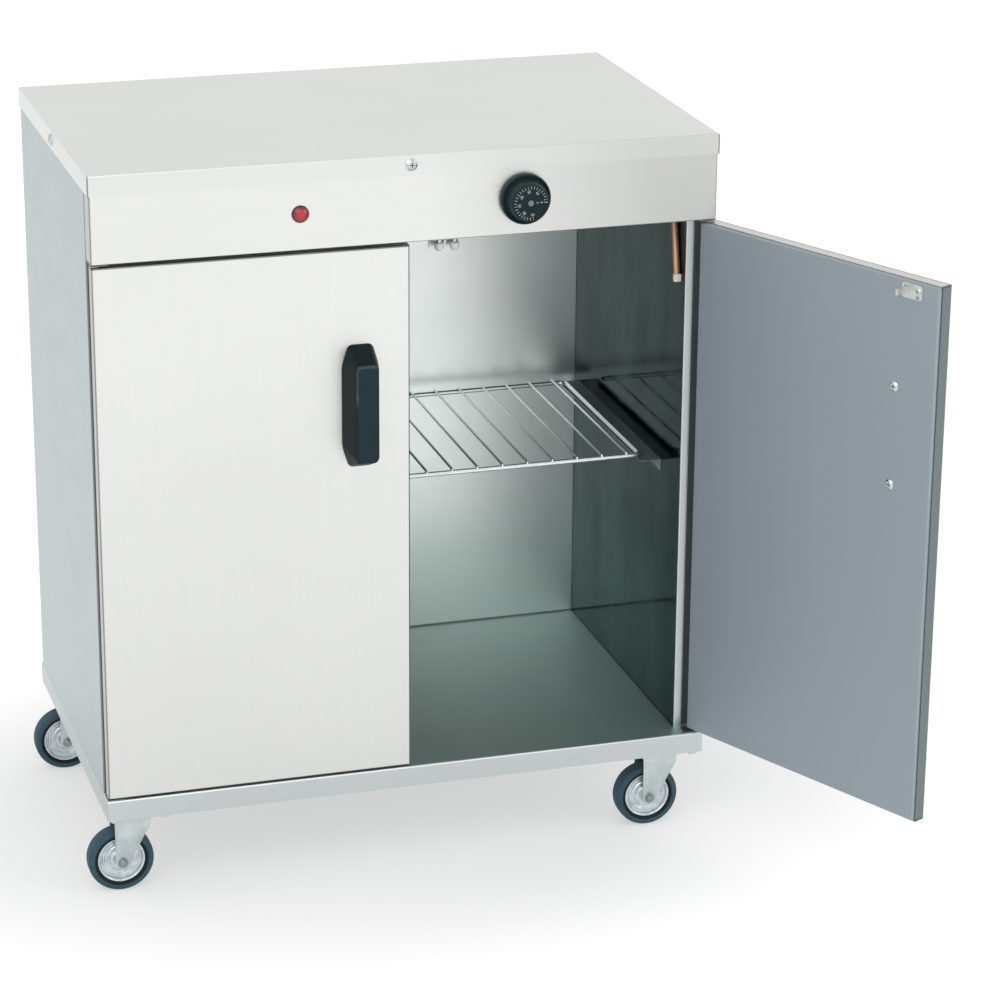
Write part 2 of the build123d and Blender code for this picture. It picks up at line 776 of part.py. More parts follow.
def make_cable_gland():
    """Gland through the back panel: body, lock nut inside and cap outside, in one moulding."""
    x, z = -gland_from_middle, gland_height
    outside = skin_y
    hexagon = RegularPolygon(gland_hex / 2, 6, major_radius=False)
    flange = Pos(x, outside, z) * Rot(-90, 0, 0) * extrude(hexagon, 6)
    cap = Pos(x, outside + 6, z) * Rot(-90, 0, 0) * turned(
        [(0, 0), (gland_hex / 2 - 1, 0), (gland_hex / 2 - 1, 9), (gland_bore_radius + 2, 15), (0, 15)])
    nut = Pos(x, outside - sheet - 5, z) * Rot(-90, 0, 0) * extrude(hexagon, 5)
    body = flange + cap + nut + rod_y(gland_thread_radius, x, z, outside - 14, outside + 1)
    return body - rod_y(gland_bore_radius, x, z, outside - 20, outside + 30)


# Shelf


def make_wire_shelf():
    """A wire bent round into a frame, with the rods welded on top of its front and back."""
    x, front, back = shelf_half_width - bar_radius, shelf_front_y, shelf_back_y
    outline = Pos(0, (front + back) / 2, shelf_height) * RectangleRounded(2 * x, back - front, shelf_corner)
    path = outline.wire()
    shelf = sweep(Plane(origin=path @ 0, z_dir=path % 0) * Circle(bar_radius), path=path)
    top = shelf_height + bar_radius + rod_radius - rod_weld
    count = int((x - shelf_corner) / rod_pitch + 0.5)
    for step in range(count):
        for side in (-1, 1):
            place = side * rod_pitch * (step + 0.5)
            shelf += rod_y(rod_radius, place, top, front - bar_radius * 0.7, back + bar_radius * 0.7)
    return shelf


def make_shelf_runners():
    """Angle ledges on the inner walls."""
    front, back = shelf_front_y - runner_overhang, shelf_back_y + runner_overhang
    shell = block(liner_x - runner_width, liner_x, front, back, runner_top - runner_leg, runner_top)
    runner = shell - block(liner_x - runner_width - 1, liner_x - sheet, front - 1, back + 1,
                           runner_top - runner_leg - 1, runner_top - sheet)
    return Compound(children=[runner, mirrored(runner)])


# Heater


def element_height():
    return base_plate_z + base_plate_thickness + element_clip_height + element_radius


def element_path():
    """Three runs across the base, joined by round bends, with both ends at the back."""
    x, y = element_half_width, element_half_depth
    step = element_bar_gap
    points = [(-x, y), (-x, -y), (x, -y), (x, y), (-x + step, y), (-x + step, -y + step), (x - step, -y + step),
              (x - step, y - step), (-x + 2 * step, y - step)]
    z = element_height()
    return FilletPolyline(*[(px, py, z) for px, py in points], radius=element_bend * 0.9)


def make_heating_element():
    path = element_path()
    section = Plane(origin=path @ 0, z_dir=path % 0) * Circle(element_radius)
    return sweep(section, path=path)


def make_element_clips():
    """Saddles that stand on the base plate and carry the element."""
    z0 = base_plate_z + base_plate_thickness
    z = element_height()
    clips = []
    second_bar = element_half_depth - element_bar_gap
    half = element_clip_width / 2
    mouth = element_radius * 0.9
    for x in (-element_half_width * 0.5, element_half_width * 0.5):
        for y in (-element_half_depth, -second_bar, second_bar):
            clip = block(x - half, x + half, y - element_radius - 3, y + element_radius + 3, z0, z + 1)
            clip -= rod_x(element_radius + running_fit, y, z, x - half - 1, x + half + 1)
            clip -= block(x - half - 1, x + half + 1, y - mouth, y + mouth, z, z + 3)
            clips.append(clip)
    return Compound(children=clips)


# Casters, modelled at the floor under the origin with the wheel trailing towards -X


def caster_places():
    names = {(-1, -1): "front_left", (1, -1): "front_right", (-1, 1): "rear_left", (1, 1): "rear_right"}
    return {name: (sx * caster_x, sy * caster_y) for (sx, sy), name in names.items()}


def caster_bolt_places():
    half = caster_bolt_pitch / 2
    corners = [(sx * half, sy * half) for sx in (-1, 1) for sy in (-1, 1)]
    return [(x + dx, y + dy) for x, y in caster_places().values() for dx, dy in corners]


def make_caster_plates():
    """Top plate, race and kingpin of each caster."""
    half = caster_plate / 2
    kingpin_bottom = crown_bottom - running_gap - kingpin_head_height
    profile = [(0, kingpin_bottom), (kingpin_head_radius, kingpin_bottom),
               (kingpin_head_radius, crown_bottom - running_gap), (kingpin_radius, crown_bottom - running_gap),
               (kingpin_radius, crown_top + running_gap), (race_radius - 2, crown_top + running_gap),
               (race_radius, crown_top + 2), (race_radius, plate_bottom - 2),
               (race_radius + 4, plate_bottom + 0.1), (0, plate_bottom + 0.1)]
    plates = []
    for x, y in caster_places().values():
        plate = block(-half, half, -half, half, plate_bottom, caster_height)
        plate = fillet(plate.edges().filter_by(Axis.Z), 6) + turned(profile)
        plates.append(Pos(x, y, 0) * plate)
    for index in range(len(plates)):
        for x, y in caster_bolt_places()[4 * index:4 * index + 4]:
            plates[index] -= rod_z(caster_bolt_radius + running_fit, x, y, plate_bottom - 1, caster_height + 1)
    return Compound(children=plates)


def make_caster_bolts():
    bolts = []
    hexagon = Rot(0, 0, 30) * RegularPolygon(caster_bolt_hex / 2, 6, major_radius=False)
    top = base_plate_z + base_plate_thickness
    for x, y in caster_bolt_places():
        head = Pos(x, y, plate_bottom - caster_bolt_head) * extrude(hexagon, caster_bolt_head)
        nut = Pos(x, y, top) * extrude(hexagon, 5)
        bolts.append(head + nut + rod_z(caster_bolt_radius, x, y, plate_bottom - 1, top + 7))
    return Compound(children=bolts)


def make_fork():
    """Pressed fork: a round crown under the race and two legs that taper down to the axle."""
    inside = fork_inside / 2
    outside = inside + fork_sheet
    axle_x = -caster_trail
    crown = rod_z(fork_crown_radius, 0, 0, crown_bottom, crown_top)
    crown += block(-fork_leg_front - 4, fork_leg_back, -outside, outside, crown_bottom, crown_top)
    left = axle_x - fork_boss_radius
    outline = Polyline((left, crown_top), (left, wheel_radius),
                       (axle_x + fork_boss_radius * 0.9, wheel_radius - 4),
                       (fork_leg_back, crown_bottom - 10), (fork_leg_back, crown_top), close=True)
    plate = extrude(make_face(Plane.XZ * outline), fork_sheet)
    boss = rod_y(fork_boss_radius, axle_x, wheel_radius, -fork_sheet, 0)
    leg = plate + boss
    fork = crown + Pos(0, -inside, 0) * leg + Pos(0, outside, 0) * leg
    fork -= rod_z(kingpin_radius + running_fit, 0, 0, crown_bottom - 1, crown_top + 1)
    return fork - rod_y(axle_radius + running_fit, axle_x, wheel_radius, -outside - 1, outside + 1)


def make_axle():
    """Bolt and nut through the fork and the hub."""
    outside = fork_inside / 2 + fork_sheet
    x, z = -caster_trail, wheel_radius
    hexagon = RegularPolygon(axle_head_radius, 6, major_radius=False)
    head = Pos(x, -outside, z) * Rot(90, 0, 0) * extrude(hexagon, axle_head_height)
    nut = Pos(x, outside, z) * Rot(-90, 0, 0) * extrude(hexagon, axle_nut_height)
    return head + nut + rod_y(axle_radius, x, z, -outside - 1, outside + axle_nut_height + 2)


def make_rim():
    """Pressed steel disc wheel with a raised ring on each side and a plain hub."""
    bore, ring, half = axle_radius + running_fit, tyre_inner_radius, rim_width / 2
    web = rim_web / 2
    half_profile = [(bore, hub_width / 2), (hub_radius, hub_width / 2), (hub_radius + 1.5, web + 2.5),
                    (hub_radius + 4, web + 1), (ring * 0.55, web + 1), (ring * 0.6, web + 3),
                    (ring * 0.68, web + 3),
                    (ring * 0.74, web + 0.8), (ring - 4, web + 0.8), (ring - 3, half), (ring, half)]
    profile = half_profile + [(radius, -height) for radius, height in reversed(half_profile)]
    return Pos(-caster_trail, 0, wheel_radius) * Rot(90, 0, 0) * turned(profile)


def make_tyre():
    """Rubber tyre with rounded shoulders."""
    half = tyre_width / 2
    outline = Polyline((tyre_inner_radius, -half + 2), (tyre_inner_radius + 2, -half),
                       (wheel_radius, -half), (wheel_radius, half), (tyre_inner_radius + 2, half),
                       (tyre_inner_radius, half - 2), close=True)
    section = make_face(Plane.XZ * outline)
    section = fillet(section.vertices().sort_by(Axis.X)[-2:], tyre_shoulder)
    return Pos(-caster_trail, 0, wheel_radius) * Rot(90, 0, 0) * revolve(section, Axis.Z)


def casing_pieces():
    side_panel, liner = make_side_panel(), make_liner()
    return {
        "lid": make_lid(),
        "control_panel": make_control_panel(),
        "side_panel_left": mirrored(side_panel),
        "side_panel_right": side_panel,
        "back_panel": make_back_panel(),
        "panel_screws": make_panel_screws(),
        "liner_left": mirrored(liner),
        "liner_right": liner,
        "liner_back": make_liner_back(),
        "ceiling_panel": make_ceiling(),
        "header_bar": make_header(),
        "base_tray": make_base_tray(),
        "base_plate": make_base_plate(),
        "wall_insulation": make_insulation(),
        "hinge_plates": make_hinge_plates(),
        "catch_brackets": make_catch_brackets(),
        "catch_rollers": make_catch_rollers(),
    }


def fitting_pieces():
    return {
        "thermostat_body": make_thermostat_body(),
        "thermostat_shaft": make_thermostat_shaft(),
        "thermostat_knob": make_knob(),
        "thermostat_bulb": make_thermostat_bulb(),
        "bulb_clip": make_bulb_clip(),
        "lamp_body": make_lamp_body(),
        "lamp_lens": make_lamp_lens(),
        "terminal_block": make_terminal_block(),
        "cable_gland": make_cable_gland(),
        "heating_element": make_heating_element(),
        "element_clips": make_element_clips(),
        "wire_shelf": make_wire_shelf(),
        "shelf_runners": make_shelf_runners(),
        "caster_plates": make_caster_plates(),
        "caster_bolts": make_caster_bolts(),
    }


def door_pieces():
    shut = {
        "door_pan": make_door_pan(),
        "door_inner": make_door_inner(),
        "door_bushes": make_door_bushes(),
        "handle": make_handle(),
        "handle_screws": make_handle_screws(),
        "strike": make_strike(),
    }
    pieces = {}
    for name, shape in shut.items():
        pieces["left_" + name] = mirrored(shape)
        pieces["right_" + name] = opened(shape)
    return pieces


def caster_pieces():
    pieces = {}
    parts = {"fork": make_fork(), "axle": make_axle(), "rim": make_rim(), "tyre": make_tyre()}
    for place, (x, y) in caster_places().items():
        for name, shape in parts.items():
            pieces[name + "_" + place] = Pos(x, y, 0) * shape
    return pieces


def main():
    os.makedirs("parts", exist_ok=True)
    pieces = {**casing_pieces(), **fitting_pieces(), **door_pieces(), **caster_pieces()}
    for name, shape in pieces.items():
        export_step(shape, "parts/" + name + ".step")
    print(len(pieces), "nodes written")


main()
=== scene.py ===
"""Finishes for the two-door heated plate cabinet: steel sheets, casters, dial, handles, floor, lamps and camera.

Lengths are in metres. Profiles and outlines of small pieces are in millimetres, and are multiplied by MM.
"""
import math

import bmesh
import bpy
import numpy as np
from mathutils import Matrix, Vector


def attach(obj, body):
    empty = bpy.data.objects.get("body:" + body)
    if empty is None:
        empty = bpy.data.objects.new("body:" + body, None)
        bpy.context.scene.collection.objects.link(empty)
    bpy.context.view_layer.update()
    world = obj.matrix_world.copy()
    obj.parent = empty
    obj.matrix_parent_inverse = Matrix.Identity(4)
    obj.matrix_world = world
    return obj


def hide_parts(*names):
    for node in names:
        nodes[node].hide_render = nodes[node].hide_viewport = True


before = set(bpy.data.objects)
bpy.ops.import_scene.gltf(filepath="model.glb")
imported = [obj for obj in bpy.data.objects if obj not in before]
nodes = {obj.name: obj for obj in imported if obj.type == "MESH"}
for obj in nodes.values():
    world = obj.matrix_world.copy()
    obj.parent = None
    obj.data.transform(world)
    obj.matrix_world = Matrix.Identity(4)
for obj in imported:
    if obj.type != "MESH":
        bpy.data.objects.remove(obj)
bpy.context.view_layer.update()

MM = 0.001
FINE = 0.0002  # height of the finest marks on a surface
HINGE = Vector((0.368, -0.214, 0.0))  # the right door's pins
OPEN = math.radians(116.0)  # how far the right door stands open at rest
CASTERS = {"front_left": (-0.335, -0.185), "front_right": (0.335, -0.185), "rear_left": (-0.335, 0.185),
           "rear_right": (0.335, 0.185)}
KNOB_BACK = np.array((0.136, -0.2255, 0.835))  # middle of the dial, where it meets the panel
KNOB_DEPTH = 0.0238
FIGURE_FIRST, FIGURE_STEP, FIGURE_RADIUS = 56.0, 44.6, 13.4  # degrees, degrees and millimetres on the dial
TRAIL, AXLE_HEIGHT = 0.020, 0.040  # of each wheel's axle, behind its swivel and above the ground
GRIP = np.array((-0.062, -0.224, 0.600))  # middle of the left handle, where it meets the door
# Faces of a cuboid whose corners are numbered round its back, then round its front.
CUBOID = np.array([(3, 2, 1, 0), (4, 5, 6, 7), (0, 1, 5, 4), (1, 2, 6, 5), (2, 3, 7, 6), (3, 0, 4, 7)])


# ---------------------------------------------------------------- material building


class Look:
    """The node tree of a material or a world: .add makes a node and .join links two sockets."""

    def __init__(self, owner):
        owner.use_nodes = True
        self.tree = owner.node_tree

    def add(self, kind, sockets=None, **settings):
        """A new node with its settings, and a value for each of the sockets that is named."""
        node = self.tree.nodes.new(kind)
        for key, value in settings.items():
            setattr(node, key, value)
        for socket, value in (sockets or {}).items():
            node.inputs[socket].default_value = value
        return node

    def join(self, source, target):
        self.tree.links.new(source, target)

    def feed(self, socket, value):
        """A number, a colour or another node's output for a socket."""
        if isinstance(value, (int, float)):
            socket.default_value = value
        elif isinstance(value, tuple):
            socket.default_value = (*value, 1)
        else:
            self.join(value, socket)

    def span(self, value, low, high, from_low=0.0, from_high=1.0, easing="LINEAR"):
        """A number from one range carried to another, and held at its ends."""
        node = self.add("ShaderNodeMapRange", {"From Min": from_low, "From Max": from_high, "To Min": low,
                                               "To Max": high}, interpolation_type=easing)
        self.join(value, node.inputs["Value"])
        return node.outputs["Result"]

    def maths(self, operation, *values):
        """What the Math node makes of one or two values."""
        node = self.add("ShaderNodeMath", operation=operation)
        for socket, value in zip(node.inputs, values):
            self.feed(socket, value)
        return node.outputs["Value"]

    def times(self, a, b):
        return self.maths("MULTIPLY", a, b)

    def above(self, value, limit):
        """1 where the value is above the limit, else 0."""
        return self.maths("GREATER_THAN", value, limit)

    def below(self, value, limit):
        return self.maths("LESS_THAN", value, limit)


class Finish(Look):
    """A node material with one Principled shader, .shader."""

    def __init__(self, name, colour, metallic, roughness):
        self.material = bpy.data.materials.new(name)
        super().__init__(self.material)
        self.shader = self.tree.nodes["Principled BSDF"]
        self.set("Base Color", (*colour, 1))
        self.set("Metallic", metallic)
        self.set("Roughness", roughness)

    def set(self, socket, value):
        """A value that is the same all over the surface."""
        self.shader.inputs[socket].default_value = value

    def place(self, scale=(1, 1, 1), turn=(0, 0, 0), shift=(0, 0, 0)):
        """Object coordinates, stretched: a large number packs the pattern tightly along that axis."""
        mapping = self.add("ShaderNodeMapping", {"Scale": scale, "Rotation": turn, "Location": shift})
        self.join(self.add("ShaderNodeTexCoord").outputs["Object"], mapping.inputs["Vector"])
        return mapping.outputs["Vector"]

    def noise(self, scale, stretch=(1, 1, 1), detail=3.0, rough=0.5):
        texture = self.add("ShaderNodeTexNoise", {"Scale": scale, "Detail": detail, "Roughness": rough})
        self.join(self.place(stretch), texture.inputs["Vector"])
        return texture.outputs["Fac"]

    def mix(self, share, first, second):
        node = self.add("ShaderNodeMix", data_type="RGBA")
        for index, value in ((0, share), (6, first), (7, second)):
            self.feed(node.inputs[index], value)
        return node.outputs[2]

    def bump(self, height, strength, distance=FINE):
        node = self.add("ShaderNodeBump", {"Strength": strength, "Distance": distance})
        self.join(height, node.inputs["Height"])
        self.join(node.outputs["Normal"], self.shader.inputs["Normal"])

    def axes(self, turn=(0, 0, 0), shift=(0, 0, 0)):
        """X, Y and Z of the object coordinates, turned and then shifted."""
        where = self.add("ShaderNodeSeparateXYZ")
        self.join(self.place((1, 1, 1), turn, shift), where.inputs["Vector"])
        return where.outputs["X"], where.outputs["Y"], where.outputs["Z"]

    def map(self):
        """U and V of the piece's own map."""
        where = self.add("ShaderNodeSeparateXYZ")
        self.join(self.add("ShaderNodeUVMap").outputs["UV"], where.inputs["Vector"])
        return where.outputs["X"], where.outputs["Y"]

    def scaled(self, colour, factor):
        """A colour multiplied by a number."""
        node = self.add("ShaderNodeVectorMath", operation="SCALE")
        self.join(colour, node.inputs["Vector"])
        self.join(factor, node.inputs["Scale"])
        return node.outputs["Vector"]

    def colour(self, source):
        self.join(source, self.shader.inputs["Base Color"])

    def roughness(self, source):
        self.join(source, self.shader.inputs["Roughness"])


def tint(colour, factor):
    """A colour made darker or lighter."""
    return tuple(min(1.0, c * factor) for c in colour)


def brushed(name, colour, roughness, grain="x", depth=0.05, cloud=0.03, metallic=1.0, relief=0.12, marks_and_painted_light=None,
            grazing=(1, 1, 1)):
    """Brushed sheet: long fine scratches along the grain, faint broad clouding, and the odd smear.

    A sheet's own hook, called with (steel, shade, rough), may add what belongs to that sheet only, its marks and its
    painted light and shade, and gives back both. grazing tints what the sheet mirrors at a flat angle.
    """
    steel = Finish(name, colour, metallic, roughness)
    along, across = 6.0, 900.0
    stretch = {"x": (along, across, across), "y": (across, along, across), "z": (across, across, along)}[grain]
    scratch = steel.noise(1.0, stretch, detail=4.0, rough=0.65)
    clouds = steel.noise(3.5, detail=3.0)
    mottle = steel.noise(70.0, detail=4.0, rough=0.7)
    smear = steel.noise(11.0, (1, 1, 2.5), detail=5.0, rough=0.6)
    shade = steel.mix(steel.span(scratch, 0, 1, 0.3, 0.7), tint(colour, 1 - depth), tint(colour, 1 + depth * 0.6))
    shade = steel.mix(steel.span(clouds, 0, 1, 0.35, 0.65), shade, steel.mix(0.5, shade, tint(colour, 1 - 2 * cloud)))
    shade = steel.mix(steel.span(mottle, 0, 0.5, 0.4, 0.65), shade, tint(colour, 1 - cloud))
    rough = steel.maths("ADD", steel.span(scratch, -0.05, 0.06), steel.span(smear, roughness - 0.04, roughness + 0.05))
    if marks_and_painted_light:
        shade, rough = marks_and_painted_light(steel, shade, rough)
    steel.colour(shade)
    steel.roughness(rough)
    steel.bump(scratch, relief)
    steel.set("Specular Tint", (*grazing, 1))
    return steel.material


def painted_front_shade(half, low, high, fades="z", turn=0.0, door=False, front=-0.2221, returns=1.0):
    """Painted light and shade on a folded front: darker bends and folded returns, and a slow fade across the face.

    half is the distance from the middle to the outer bend, and low and high are the fade (place, factor) along the
    axis. turn is the angle that the sheet stands open about its hinge, and front is the Y that the face lies before.
    returns is the factor on the two upright returns. A door also has painted shade on its free edge and top return.
    """
    bend_width, edge_width = 0.0015, 0.0036
    door_top, door_middle, half_between_rims = 0.7868, -0.2141, 0.0062

    def marks_and_painted_light(steel, shade, rough):
        back = Matrix.Rotation(-turn, 3, "Z")
        x, y, z = steel.axes((0, 0, -turn), HINGE - back @ HINGE)
        fade = steel.span({"x": x, "z": z}[fades], low[1], high[1], low[0], high[0])
        face = steel.below(y, front)
        reach = steel.maths("ABSOLUTE", x)
        outer = steel.above(reach, half - bend_width)
        bend = steel.times(outer, face)
        # Painted light and shade: the face fades along the axis, and its upright bends and returns are darker.
        painted_light = steel.maths("ADD", 1.0, steel.times(face, steel.maths("SUBTRACT", fade, 1.0)))
        painted_light = steel.times(painted_light, steel.span(bend, 1.0, 0.40))
        if returns < 1:
            painted_light = steel.times(painted_light, steel.span(steel.maths("SUBTRACT", outer, bend), 1.0, returns))
        if not door:
            return steel.scaled(shade, painted_light), rough
        # Painted shade on a door's top return, darkest on its two rims.
        top = steel.above(z, door_top)
        rims = steel.above(steel.maths("ABSOLUTE", steel.maths("SUBTRACT", y, door_middle)), half_between_rims)
        painted_light = steel.times(painted_light, steel.span(top, 1.0, 0.84))
        painted_light = steel.times(painted_light, steel.span(steel.times(top, rims), 1.0, 0.36))
        # Painted shade: the free edge is a flat dark grey-blue.
        return steel.mix(steel.below(reach, edge_width), steel.scaled(shade, painted_light), (0.185, 0.222, 0.232)), rough
    return marks_and_painted_light


def side_bend_shade(steel, shade, rough):
    """Painted shade: a darker line along the front bend of the outer side walls."""
    bend = steel.below(steel.axes()[1], -0.1946)
    return steel.scaled(shade, steel.span(bend, 1.0, 0.42)), rough


def wall_streaks_and_painted_light(steel, shade, rough):
    """The folded front lip of an inner wall has a rough mill finish and painted light; the wall itself is streaked by
    heat.

    Painted shade darkens its foot and its back corner where the sheets meet, and painted light makes its lower part
    paler.
    """
    lip_back, foot, corner = -0.2005, 0.1345, 0.2068
    y, z = steel.axes()[1:]
    lip = steel.below(y, lip_back)
    streak = steel.noise(14.0, (1, 1, 0.35), detail=5.0, rough=0.65)
    # Painted shade in the corners, and painted light on the lower part of the wall.
    seam = steel.maths("MAXIMUM", steel.below(z, foot), steel.above(y, corner))
    painted_light_and_seam_shade = steel.times(steel.span(seam, 1.0, 0.12), steel.span(z, 1.6, 1.0, 0.25, 0.46))
    wall = steel.scaled(shade, steel.times(steel.span(streak, 0.76, 1.34, 0.38, 0.72), painted_light_and_seam_shade))
    # Painted light: the lip's pale colour.
    painted_lit_lip = steel.mix(streak, (0.58, 0.62, 0.63), (0.66, 0.69, 0.70))
    rough = steel.maths("ADD", rough, steel.span(streak, -0.03, 0.08, 0.35, 0.7))
    return steel.mix(lip, wall, painted_lit_lip), steel.maths("MAXIMUM", rough, steel.times(lip, 0.42))


def back_foot_shade(steel, shade, rough):
    """Painted shade: dark along the foot of the inner back, where it meets the floor."""
    foot = steel.below(steel.axes()[2], 0.1342)
    return steel.scaled(shade, steel.span(foot, 1.0, 0.30)), rough


def tray_wear_and_painted_light(steel, shade, rough):
    """The tray's top is the cabinet's floor: rougher, painted darker than the band outside and in front; its fold has a
    painted highlight.
    """
    floor_level, fold_level, fold_back = 0.1312, 0.1303, -0.2225
    x, y, z = steel.axes()
    inside = steel.times(steel.above(z, floor_level), steel.above(y, fold_back))
    fold = steel.times(steel.above(z, fold_level), steel.below(y, fold_back))
    wear_and_highlight = steel.noise(9.0, detail=5.0, rough=0.6)
    # Painted light: the floor is lighter towards its back and sides, darker in front.
    aside = steel.span(steel.maths("ABSOLUTE", x), 1.0, 1.75, 0.04, 0.26)
    painted_floor_light = steel.times(steel.span(y, 0.90, 1.15, -0.20, 0.14), aside)
    floor = steel.scaled(steel.mix(wear_and_highlight, (0.26, 0.335, 0.315), (0.32, 0.40, 0.375)), painted_floor_light)
    # Painted highlight on the front fold, and the floor's painted shade inside.
    shade = steel.mix(inside, steel.mix(fold, shade, (0.86, 0.90, 0.90)), floor)
    return shade, steel.mix(inside, rough, steel.span(wear_and_highlight, 0.44, 0.56))


def plated(name, colour, roughness, mottle=0.06, metallic=1.0):
    """Zinc or nickel plate: small uneven spangle and light handling marks."""
    plate = Finish(name, colour, metallic, roughness)
    fine = plate.noise(260.0, detail=4.0, rough=0.6)
    broad = plate.noise(45.0, detail=3.0)
    shade = plate.mix(plate.span(broad, 0, 1, 0.3, 0.7), tint(colour, 1 - mottle), tint(colour, 1 + mottle))
    plate.colour(plate.mix(plate.span(fine, 0, 0.5, 0.4, 0.7), shade, tint(colour, 0.85)))
    uneven = plate.span(broad, roughness - 0.03, roughness + 0.06)
    plate.roughness(plate.maths("ADD", plate.span(fine, -0.04, 0.06), uneven))
    plate.bump(fine, 0.08)
    return plate.material


def moulded(name, colour, roughness, grain=900.0, depth=0.10, gloss=0.5):
    """Moulded plastic: a fine spark-eroded texture and slightly uneven colour."""
    plastic = Finish(name, colour, 0.0, roughness)
    fine = plastic.noise(grain, detail=3.0, rough=0.6)
    broad = plastic.noise(18.0, detail=3.0)
    plastic.colour(plastic.mix(plastic.span(broad, 0, 1, 0.3, 0.7), tint(colour, 0.9), tint(colour, 1.12)))
    uneven = plastic.span(broad, roughness - 0.03, roughness + 0.04)
    plastic.roughness(plastic.maths("ADD", plastic.span(fine, -0.06, 0.06), uneven))
    plastic.bump(fine, depth)
    plastic.set("Specular IOR Level", gloss)
    return plastic.material


def grip_plastic(name, colour, rim):
    """Moulded grip: painted shade on the sides, and a painted highlight on the rim about its face where U is above
    0.62.
    """
    rim_v = 0.80
    plastic = Finish(name, colour, 0.0, 0.42)
    around, outward = plastic.map()
    fine = plastic.noise(900.0, detail=3.0, rough=0.6)
    broad = plastic.noise(40.0, detail=4.0)
    from_rim = plastic.maths("ABSOLUTE", plastic.maths("SUBTRACT", outward, rim_v))
    # Painted highlight on the rim about the face.
    wear_and_highlight = plastic.times(plastic.span(from_rim, 1, 0, 0.04, 0.15), plastic.span(around, 0, 1, 0.55, 0.70))
    wear_and_highlight = plastic.times(wear_and_highlight, plastic.span(broad, 0.4, 1, 0.35, 0.65))
    side = plastic.mix(broad, tint(colour, 0.88), tint(colour, 1.12))
    # Painted shade: the sides are darker towards the door.
    side = plastic.scaled(side, plastic.span(outward, 0.32, 1.0, 0.62, 0.9))
    plastic.colour(plastic.mix(wear_and_highlight, side, rim))
    plastic.roughness(plastic.maths("ADD", plastic.span(fine, -0.05, 0.05), plastic.span(broad, 0.38, 0.46)))
    plastic.bump(fine, 0.10)
    plastic.set("Specular IOR Level", 0.08)
    return plastic.material


def fibrous(name, colour):
    """Loose mineral fibre."""
    wool = Finish(name, colour, 0.0, 0.95)
    strands = wool.noise(70.0, (1, 4, 1), detail=8.0, rough=0.75)
    wool.colour(wool.mix(wool.span(strands, 0, 1, 0.3, 0.7), tint(colour, 0.6), tint(colour, 1.2)))
    wool.bump(strands, 0.8, 0.003)
    return wool.material


def rubber(name, colour, ring):
    """Blue-grey tread rubber, dusty on the tread, with the black ring next to the wheel disc (map V below 0.3)."""
    tread = Finish(name, colour, 0.0, 0.62)
    dust = tread.noise(60.0, detail=5.0, rough=0.65)
    fine = tread.noise(700.0, detail=2.0)
    grey = tread.mix(tread.span(dust, 0, 1, 0.35, 0.75), tint(colour, 0.86), tint(colour, 1.22))
    inner = tread.span(tread.map()[1], 1, 0, 0.30, 0.38)
    tread.colour(tread.mix(inner, grey, tread.mix(dust, tint(ring, 0.7), tint(ring, 1.3))))
    tread.roughness(tread.span(dust, 0.50, 0.72))
    tread.set("Specular IOR Level", 0.25)
    tread.bump(fine, 0.15)
    return tread.material


def spun_zinc(name, colour):
    """Zinc-plated wheel disc: turning rings by radius (map V), spangle and dull patches."""
    disc = Finish(name, colour, 1.0, 0.3)
    ring = disc.maths("SINE", disc.times(disc.map()[1], 150.0))
    patch = disc.noise(90.0, (1, 1, 1), detail=5.0, rough=0.7)
    shade = disc.mix(disc.span(ring, 0, 1, -1, 1), tint(colour, 0.86), tint(colour, 1.06))
    disc.colour(disc.mix(disc.span(patch, 0, 0.7, 0.42, 0.66), shade, tint(colour, 0.62)))
    disc.roughness(disc.span(patch, 0.22, 0.44))
    disc.bump(ring, 0.25, 0.0003)
    return disc.material


def lens_red(name):
    """Red lamp lens: painted light in the middle and painted shade, deep red, at its rim (map V: 1 at the middle, 0 at
    the rim).
    """
    lens = Finish(name, (0.5, 0.01, 0.02), 0.0, 0.16)
    cast = lens.noise(300.0, detail=3.0)
    # Painted light and shade on the dome: brighter towards the middle.
    middle = lens.maths("ADD", lens.span(lens.map()[1], 0, 1, 0.05, 0.6), lens.span(cast, -0.08, 0.08))
    lens.colour(lens.mix(middle, (0.16, 0.008, 0.018), (0.60, 0.018, 0.030)))
    lens.roughness(lens.span(cast, 0.12, 0.24))
    lens.set("Coat Weight", 0.3)
    return lens.material


def copper_tube(name):
    """Drawn copper, browner where it has been hot."""
    copper = Finish(name, (0.74, 0.41, 0.25), 0.55, 0.46)
    stain = copper.noise(55.0, (1, 1, 0.4), detail=4.0)
    copper.colour(copper.mix(copper.span(stain, 0, 1, 0.3, 0.7), (0.66, 0.35, 0.20), (0.84, 0.48, 0.29)))
    copper.roughness(copper.span(stain, 0.38, 0.56))
    return copper.material


# Painted light and shade on the front steels: darker bends, returns and door edges, and a fade across each face.
outside_steel = brushed("outside_steel_along_x", (0.80, 0.82, 0.79), 0.36, "x", depth=0.03,
                        marks_and_painted_light=painted_front_shade(0.3750, (0.02, 1.0), (0.30, 0.82), "x", front=-0.2236))
panel_steel = brushed("control_panel_steel", (0.83, 0.84, 0.81), 0.36, "x", depth=0.03,
                      marks_and_painted_light=painted_front_shade(0.3735, (0.02, 1.0), (0.30, 0.74), "x", returns=0.66))
# Painted shade: the base band is coloured greyer than the steel above it.
band_steel = brushed("base_band_steel", (0.58, 0.62, 0.63), 0.38, "x", depth=0.03, marks_and_painted_light=tray_wear_and_painted_light)
